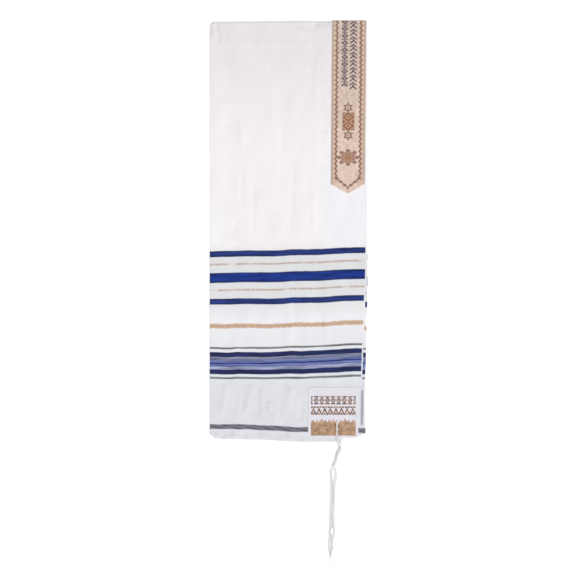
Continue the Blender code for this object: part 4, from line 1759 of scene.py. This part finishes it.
    def _wander(self, plan: np.ndarray, number: np.ndarray) -> np.ndarray:
        """How far each layer's edge strays from the border along it.

        Args:
            plan: The border's points in plan.
            number: The layer's number of each point of the profile.

        Returns:
            The stray in millimetres, by stations and points of the profile.
        """
        draws = np.random.default_rng(self.wander_seed)
        along = np.concatenate(([0.0], np.cumsum(np.linalg.norm(np.diff(plan, axis=0), axis=1))))
        stray = np.zeros((len(plan), self.layers))
        longest = self.wander_lengths[0]
        for layer in range(self.layers):
            for length in self.wander_lengths:
                wave = np.sin(2 * math.pi * along / length + draws.uniform(0, 6.28))
                stray[:, layer] += length / longest * wave
        stray *= self.wander_scale * (np.arange(self.layers) < self.layers - 1)
        return np.clip(stray, -self.wander_most, self.wander_most)[:, number]

    def _mesh(self, rings: list[np.ndarray], numbers: list[int]) -> None:
        """Joins the rings into one closed mesh and dresses it.

        Args:
            rings: The rings' points, from the lowest up and then inwards.
            numbers: The layer's number of each ring.
        """
        count = len(rings[0])
        points = np.concatenate(rings)
        shift = np.interp(-points[:, 1], [-y for y in self.slip_heights], self.slips)
        from_edge = points[:, 0] - self.form.stripes_end(points[:, 1], Layer.UNDER)
        per_ring = np.repeat([self.slip[number] * MM for number in numbers], count)
        cloth = np.column_stack((from_edge, points[:, 1] - shift + per_ring))
        points[:, 1] += self.form.droop(points[:, 0], points[:, 1])
        here = np.arange(count)
        after = np.roll(here, -1)
        faces = []
        for low in range(0, len(points) - count, count):
            high = low + count
            faces.extend(np.column_stack((high + here, high + after, low + after, low + here)).tolist())
        faces.append(here.tolist())
        faces.append((here[::-1] + len(points) - count).tolist())
        piece = mesh_object("hidden_layers", points, faces, cloth)
        dress(piece, StripedCloth("striped_cloth_under", corner_line=True).material())
        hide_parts("folded_layers")


@dataclass
class Neckband:
    """The brocade band up the right side, with its pointed end and its stretch over the neck fold."""

    form: ShawlForm = FORM
    left_at_neck: float = 0.0945
    left_at_point: float = 0.0915
    width: float = 0.0720
    shoulder_y: float = 0.2365
    point_depth: float = 0.0200
    cell: float = 1.8 * MM
    roll_steps: int = 14
    roll_turn: float = math.radians(118)
    wall: float = 0.9 * MM
    lift: float = 0.12 * MM
    stitch: Stitch = Stitch(3.0, 2.1, 0.5, 0.36)
    seam_inset: float = 1.7 * MM
    stitches: NodeGroup | None = None

    @property
    def shoulder_depth(self) -> float:
        """How far down from the neck fold's start the band's sides end."""
        return self.form.flat_top_y - self.shoulder_y

    def _left(self, y: Any) -> Any:
        """The x of the band's left-hand edge at a place along the strip."""
        share = (self.form.neck_y - y) / (self.form.neck_y - self.shoulder_y)
        return self.left_at_neck + share * (self.left_at_point - self.left_at_neck)

    def surface(self, x: Any, y: Any) -> Any:
        """The height of the band's outer face at some points."""
        return self.form.height(x, y) + self.lift + self.wall

    def place(self, across: Any, down: Any) -> tuple[Any, Any]:
        """A point of the flat band in plan.

        Args:
            across: Its share across, from the left.
            down: Its share down, from the neck fold to the pointed end.

        Returns:
            Its x and y.
        """
        end = self.shoulder_y - self.point_depth * (1 - np.abs(2 * across - 1))
        y = self.form.flat_top_y + down * (end - self.form.flat_top_y)
        return self._left(y) + across * self.width, y

    def sheet(self) -> Sheet:
        """The band's outer face.

        Returns:
            The face as an open sheet, with its roll over the neck fold.
        """
        across = np.linspace(0, 1, round(self.width / self.cell / 2) * 2 + 1)
        down = np.linspace(0, 1, round(self.shoulder_depth / self.cell) + 1)
        x, y = np.broadcast_arrays(*self.place(across[None, :], down[:, None]))
        flat = np.dstack((x, y, self.surface(x, y)))
        middle = np.broadcast_to((across - 0.5) * self.width, x.shape)
        flat_cloth = np.dstack((middle, y - self.shoulder_y + self.point_depth))
        rolls, roll_cloth = [], []
        radius = self.form.neck_roll + SEAM_GAP + self.wall
        over = np.array((0.0, 1.0))
        for step in range(self.roll_steps, 0, -1):
            angle = self.roll_turn * step / self.roll_steps
            rolls.append(rolled(flat[0], over, radius, angle))
            roll_cloth.append(flat_cloth[0] + over * (radius * angle))
        points = np.concatenate((np.array(rolls), flat)).reshape(-1, 3)
        cloth = np.concatenate((np.array(roll_cloth), flat_cloth)).reshape(-1, 2)
        return Sheet(points, grid_quads(len(across), len(down) + self.roll_steps), cloth)

    def build(self) -> None:
        """Makes and dresses the band and the stitches round it."""
        piece = self.sheet().thickened("neckband_brocade", self.wall)
        dress(piece, Brocade().material())
        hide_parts("neckband")
        seam = dress(self._seam(), TAN_THREAD.material())
        flat = (self.width, self.shoulder_depth + self.point_depth)

    def _seam(self) -> bpy.types.Object:
        """The running stitches just inside the band's edge.

        Returns:
            The stitches.
        """
        side, end = self.seam_inset / self.width, 1 - self.seam_inset / self.shoulder_depth
        route = [(side, down) for down in np.linspace(0.0, end, 150)]
        route += [(across, end) for across in np.linspace(side, 1 - side, 30)[1:]]
        route += [(1 - side, down) for down in np.linspace(end, 0.0, 150)[1:]]
        x, y = self.place(*np.array(route).T)
        path = np.column_stack((x, y, self.surface(x, y) + 0.05 * MM))
        return self.stitch.sew(self.stitches, "neckband_stitches", [path])


@dataclass
class CornerPatch:
    """The square satin patch with its satin-stitched edge and the eyelet for the cords."""

    form: ShawlForm = FORM
    left: float = 0.0425
    top: float = -0.2010
    width: float = 0.1070
    height: float = 0.1080
    cell: float = 1.5 * MM
    wall: float = 0.7 * MM
    lift: float = 0.12 * MM
    eyelet: tuple[float, float] = (0.1045, -0.2750)
    eyelet_radius: float = 2.6 * MM
    edge_inset: float = 1.6 * MM
    edge_stitch: Stitch = Stitch(0.85, 3.5, 0.95, 0.8, math.radians(82), 0.06)
    eyelet_stitch: Stitch = Stitch(0.75, 2.0, 0.7, 0.7, math.radians(88), 0.08)
    stitches: NodeGroup | None = None

    def surface(self, x: Any, y: Any) -> Any:
        """The height of the patch's outer face at some points."""
        return self.form.height(x, y) + self.lift + self.wall

    def build(self) -> None:
        """Makes and dresses the patch, its edge and its eyelet."""
        across = np.linspace(0, self.width, round(self.width / self.cell) + 1)
        down = np.linspace(0, self.height, round(self.height / self.cell) + 1)
        x, y = np.meshgrid(self.left + across, self.top - down)
        points = np.dstack((x, y, self.surface(x, y))).reshape(-1, 3)
        cloth = np.dstack((x - self.left, y - self.top + self.height)).reshape(-1, 2)
        face = Sheet(points, grid_quads(len(across), len(down)), cloth)
        piece = face.thickened("corner_patch_satin", self.wall)
        dress(piece, PatchSatin().material())
        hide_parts("corner_patch")
        parts = (self._edging(), self._eyelet())
        sewn = [dress(part, WHITE_THREAD.material()) for part in parts]

    def _edging(self) -> bpy.types.Object:
        """The satin stitches over the patch's edge.

        Returns:
            The stitches.
        """
        low_x, high_x = self.left + self.edge_inset, self.left + self.width - self.edge_inset
        low_y, high_y = self.top - self.height + self.edge_inset, self.top - self.edge_inset
        corners = [(low_x, high_y), (high_x, high_y), (high_x, low_y), (low_x, low_y), (low_x, high_y)]
        paths = []
        for start, end in zip(corners, corners[1:]):
            x, y = np.linspace(start, end, 60).T
            paths.append(np.column_stack((x, y, self.surface(x, y) - 0.05 * MM)))
        return self.edge_stitch.sew(self.stitches, "patch_edging", paths)

    def _eyelet(self) -> bpy.types.Object:
        """The buttonhole stitches round the eyelet.

        Returns:
            The stitches.
        """
        turn = np.linspace(0, 2 * math.pi, 40)
        x = self.eyelet[0] + self.eyelet_radius * np.cos(turn)
        y = self.eyelet[1] + self.eyelet_radius * np.sin(turn)
        path = np.column_stack((x, y, self.surface(x, y)))
        return self.eyelet_stitch.sew(self.stitches, "eyelet_stitches", [path])


class CordStop(NamedTuple):
    """A place on the cords' way and their thickness there, in millimetres, and whether cloth bears them."""

    x: float
    y: float
    thick: float
    on_cloth: float


class Binding(NamedTuple):
    """Thread wound round the cords, in millimetres, with its turns, and whether it is on the cords behind."""

    start_y: float
    end_y: float
    turns: float
    thread: float
    bulge: float
    behind: bool = False


class SpreadRow(NamedTuple):
    """How the strands lie at one place: their middle and the eye in them, in millimetres, and their fan."""

    y: float
    middle: float
    eye: float
    fan: float


class Strand(NamedTuple):
    """One loose strand: its lane, its side of an eye, its level, and its end and its sway in millimetres."""

    lane: float
    side: float
    level: int
    end_y: float
    sway: float
    phase: float


@dataclass
class Tassel:
    """The corner tassel: cords out of the eyelet, knots with windings between them, eight loose strands."""

    patch: CornerPatch
    cords: NodeGroup
    floor_clearance: float = 0.35 * MM
    cloth_end: float = -0.316
    sunk: float = 0.25 * MM
    strand_pitch: float = 2.6
    settle_length: float = 20.0
    upper_lift: float = 1.9 * MM
    ply_pitch: float = 3.6 * MM
    least_radius: float = 0.9 * MM
    ply_offset: float = 0.50 * MM
    ply_radius: float = 0.54 * MM
    sway_length: float = 60.0
    through_lanes: tuple[tuple[float, float], ...] = ((-1.9, 0.0), (1.9, 0.0), (0.1, 1.2))
    stops: tuple[CordStop, ...] = table(
        CordStop,
        (104.2, -274.5, 3, 1), (103.9, -290, 3, 1), (104, -302, 3, 1), (104.5, -310, 3, 1),
        (105.4, -316.5, 3.2, 0.9), (107, -323, 4.4, 0.3), (109.4, -329, 8, 0), (110.8, -334.5, 11.4, 0),
        (107.2, -340, 9.4, 0), (104.8, -345, 9.8, 0), (103.6, -349, 8.7, 0), (102.4, -356, 7.8, 0),
        (101.1, -360, 8.8, 0), (99.3, -364, 7.4, 0), (96.6, -368, 9.6, 0), (95.7, -372, 5.6, 0),
    )
    back_stops: tuple[CordStop, ...] = table(
        CordStop,
        (110.3, -300, 3.2, 0), (110.5, -308, 3.2, 0), (110.9, -315, 5.6, 0), (111, -321, 6.8, 0),
        (110.9, -326.5, 5, 0), (110.8, -334.5, 6, 0),
    )
    back_lanes: tuple[float, ...] = (-1.1 * MM, 1.1 * MM)
    gathered_at: tuple[float, float] = (-320.0, 8.0)
    out_at: tuple[float, float] = (-274.5, 6.0)
    apart_at: tuple[float, float] = (-296.0, 14.0)
    winding_offset: float = 0.22
    winding_radius: float = 0.28
    winding_pitch: float = 2.2
    winding_step: float = 0.4 * MM
    bindings: tuple[Binding, ...] = table(
        Binding,
        (-313, -324, 4.6, 2, 0.4, True), (-329.6, -337.8, 3, 2.6, 0.6), (-337.6, -343.2, 4.4, 1.3, 0),
        (-343, -347.2, 1.8, 2.1, 0.5), (-347.4, -357.8, 7.8, 1.3, 0), (-357.6, -361.6, 1.8, 2.1, 0.5),
        (-361.8, -365.6, 2.9, 1.3, 0), (-365.6, -371, 2.2, 2.3, 0.5),
    )
    spread: tuple[SpreadRow, ...] = table(
        SpreadRow,
        (-372, 96.6, 0, 0.8), (-384, 96.4, 7, 0.86), (-397, 96.6, 4, 0.96), (-412, 96, 0.4, 1),
        (-465, 94.2, 0, 1), (-500, 93.6, 1, 0.96), (-511, 93.6, 6.2, 0.72), (-522, 93, 1.6, 0.95),
        (-542, 91.5, 1, 1.18), (-562, 90, 0, 0.8), (-589, 91.2, 0, 1),
    )
    strands: tuple[Strand, ...] = table(
        Strand,
        (-2, -0.5, 0, -556, 0.25, 0.4), (-1, -0.5, 0, -569, 0.2, 1.7), (0, -0.5, 0, -588.5, 0.2, 2.9),
        (1, 0.5, 0, -568, 0.2, 4.1), (2, 0.5, 0, -554, 0.25, 5.3), (-1, -0.5, 1, -566, 0.45, 3.3),
        (0.3, 0.5, 1, -580, 0.4, 0.9), (1, 0.5, 1, -562, 0.45, 2.2),
    )

    def __post_init__(self) -> None:
        """Works out the middle lines and the thickness, from the eyelet down and from under the hem."""
        self.core, self.thick = self._line(self.stops)
        self.back, self.back_thick = self._line(self.back_stops)

    def _line(self, stops: Sequence[CordStop]) -> tuple[np.ndarray, np.ndarray]:
        """The middle line through some stops.

        Args:
            stops: The stops.

        Returns:
            The line's points and how thick the cords are at each.
        """
        spot = np.linspace(0, len(stops) - 1, 20 * len(stops))
        x, y, thick, held = (self._smooth(np.array(part), spot) for part in zip(*stops))
        x, y, thick = x * MM, y * MM, thick * MM
        on_floor = self.floor_clearance + thick / 2
        on_cloth = self.patch.surface(x, np.maximum(y, self.cloth_end)) + thick / 2 - self.sunk
        return np.column_stack((x, y, on_floor + np.clip(held, 0, 1) * (on_cloth - on_floor))), thick

    @staticmethod
    def _smooth(values: np.ndarray, spot: np.ndarray) -> np.ndarray:
        """Reads a smooth curve through values at fractional places among them.

        Args:
            values: The values.
            spot: The places.

        Returns:
            The curve's values there.
        """
        low = np.clip(spot.astype(int), 0, len(values) - 2)
        share = spot - low
        padded = np.concatenate(([2 * values[0] - values[1]], values, [2 * values[-1] - values[-2]]))
        before, start, end, after = padded[low], padded[low + 1], padded[low + 2], padded[low + 3]
        return 0.5 * (
            2 * start + (end - before) * share + (2 * before - 5 * start + 4 * end - after) * share**2
            + (3 * start - before - 3 * end + after) * share**3
        )

    def _past(self, y: float, reach: float) -> np.ndarray:
        """How far past a place along the strip the middle line is, eased from 0 to 1, both in millimetres."""
        return ease((y * MM - self.core[:, 1]) / (reach * MM))

    def _through_path(self, lane: float, lift: float) -> np.ndarray:
        """One of the cords out of the eyelet, close together on the patch and gathered at the knots.

        Args:
            lane: How far to the side it lies, in millimetres.
            lift: How far above the others it lies, in millimetres.

        Returns:
            Its points.
        """
        gathered, out, apart = (self._past(*at) for at in (self.gathered_at, self.out_at, self.apart_at))
        away = lane * MM * (0.30 + 0.70 * apart) * (1 - 0.5 * gathered)
        above = lift * MM * out * (1 - 0.7 * gathered)
        return self.core + np.column_stack((away, np.zeros_like(away), above))

    def _strand_path(self, strand: Strand) -> np.ndarray:
        """The middle line of one loose strand.

        Args:
            strand: The strand.

        Returns:
            Its points.
        """
        root = self.core[-8]
        y = np.linspace(self.spread[0].y, strand.end_y, 80)
        middle, eye, fan = (eased_table(self.spread, "y", name, y) for name in SpreadRow._fields[1:])
        sway = strand.sway * np.sin(2 * math.pi * (y - y[0]) / self.sway_length + strand.phase)
        x = middle + strand.lane * self.strand_pitch * fan + eye * strand.side + sway
        lying = self.floor_clearance + self.ply_offset + self.ply_radius + strand.level * self.upper_lift
        z = root[2] + (lying - root[2]) * ease((y[0] - y) / self.settle_length)
        start = root + MM * np.array((strand.lane * 0.55, 0.0, (strand.level - 0.5) * 0.8))
        return np.vstack((start, np.column_stack((x * MM, y * MM, z))))

    def _winding_path(self, binding: Binding) -> np.ndarray:
        """A thread wound round a stretch of the cords.

        Args:
            binding: The stretch.

        Returns:
            The thread's points.
        """
        share = np.linspace(0, 1, max(30, int(binding.turns * 16)))
        at = MM * (binding.start_y + share * (binding.end_y - binding.start_y))
        line, thick = (self.back, self.back_thick) if binding.behind else (self.core, self.thick)
        down = -line[:, 1]
        centre = np.column_stack([np.interp(-at, down, line[:, axis]) for axis in range(3)])
        radius = np.maximum((np.interp(-at, down, thick) - binding.thread * MM) / 2, self.least_radius)
        radius += binding.bulge * MM * (np.sin(math.pi * share) - 1)
        run = unit(np.gradient(centre, axis=0))
        across = unit(np.cross(run, np.array((0.0, 0.0, 1.0))))
        upward = np.cross(across, run)
        angle = 2 * math.pi * binding.turns * share[:, None]
        return centre + radius[:, None] * (np.cos(angle) * across + np.sin(angle) * upward)

    def build(self) -> None:
        """Makes and dresses the cords, and then the knots and windings on them."""
        material = TASSEL_WOOL.material()
        paths = [self._through_path(lane, lift) for lane, lift in self.through_lanes]
        paths += [self.back + np.array((lane, 0.0, 0.0)) for lane in self.back_lanes]
        paths += [self._strand_path(strand) for strand in self.strands]
        values = {
            "Pitch": self.ply_pitch, "Material": material,
            "Ply Offset": self.ply_offset, "Ply Radius": self.ply_radius,
        }
        cords = dress(self.cords.build("tassel_cords", paths, values), material)
        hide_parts("tassel")
        for number, binding in enumerate(self.bindings, 1):
            thread = binding.thread * MM
            values = {
                "Pitch": thread * self.winding_pitch, "Step": self.winding_step, "Material": material,
                "Ply Offset": thread * self.winding_offset, "Ply Radius": thread * self.winding_radius,
            }
            winding = self.cords.build(f"tassel_winding_{number}", [self._winding_path(binding)], values)
            dress(winding, material)


class Lamp(NamedTuple):
    """A soft, far lamp: where it shines from, how wide it looks, and its power."""

    name: str
    shines_from: tuple[float, float, float]
    spread: float
    power: float


@dataclass
class Studio:
    """The pale floor, the soft light and the camera straight above."""

    metres_per_pixel: float = 0.00215
    frame_pixels: int = 580
    middle: tuple[float, float] = (0.0032, 0.0086)
    cloth_height: float = 0.007
    lens: float = 85.0
    sensor: float = 36.0
    floor_reach: float = 30.0
    floor_z: float = -0.25 * MM
    floor_finish: Paint = Paint("pale_floor", pale=0.94, glow=0.26)
    floor_corners: tuple[tuple[int, int], ...] = ((-1, -1), (1, -1), (1, 1), (-1, 1))
    lamps: tuple[Lamp, ...] = (
        Lamp("key", (0.72, -0.74, 0.86), math.radians(20), 1.28),
        Lamp("overhead", (0.05, -0.10, 1.0), math.radians(50), 1.08),
    )
    ambient: float = 0.56

    def build(self) -> None:
        """Sets up the floor, the lights and the camera."""
        self._floor()
        self._world()
        for lamp in self.lamps:
            self._light(lamp)
        self._camera()
        bpy.context.scene.view_settings.view_transform = "Standard"

    def _floor(self) -> None:
        """The floor."""
        corners = [(x * self.floor_reach, y * self.floor_reach, self.floor_z) for x, y in self.floor_corners]
        floor = mesh_object("floor", np.array(corners), [(0, 1, 2, 3)])
        floor.data.materials.append(self.floor_finish.material())

    def _world(self) -> None:
        """The even light all round."""
        world = bpy.data.worlds.new("studio")
        bpy.context.scene.world = world
        world.use_nodes = True
        backdrop = world.node_tree.nodes["Background"]
        backdrop.inputs["Color"].default_value = (1.0, 1.0, 1.0, 1.0)
        backdrop.inputs["Strength"].default_value = self.ambient

    def _light(self, lamp: Lamp) -> None:
        """Makes one of the lamps.

        Args:
            lamp: The lamp.
        """
        data = bpy.data.lights.new(lamp.name, "SUN")
        data.angle = lamp.spread
        data.energy = lamp.power
        light = place_object(lamp.name, data)
        light.rotation_euler = (-Vector(lamp.shines_from)).to_track_quat("-Z", "Y").to_euler()

    def _camera(self) -> None:
        """The camera, with its frame as wide as the photograph's."""
        data = bpy.data.cameras.new("camera")
        data.lens = self.lens
        data.sensor_width = self.sensor
        width = self.frame_pixels * self.metres_per_pixel
        camera = place_object("camera", data)
        camera.location = (*self.middle, self.cloth_height + width * self.lens / self.sensor)
        bpy.context.scene.camera = camera


def main() -> None:
    """Builds the shawl piece by piece."""
    logging.basicConfig(level=logging.INFO, format="%(name)s: %(message)s")
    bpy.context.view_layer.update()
    Studio().build()
    stitches = stitch_tree()
    HiddenLayers().build()
    FrontLayer(stitches=stitches).build()
    Neckband(stitches=stitches).build()
    patch = CornerPatch(stitches=stitches)
    patch.build()
    Tassel(patch, cord_tree(2)).build()


if __name__ == "__main__":
    main()
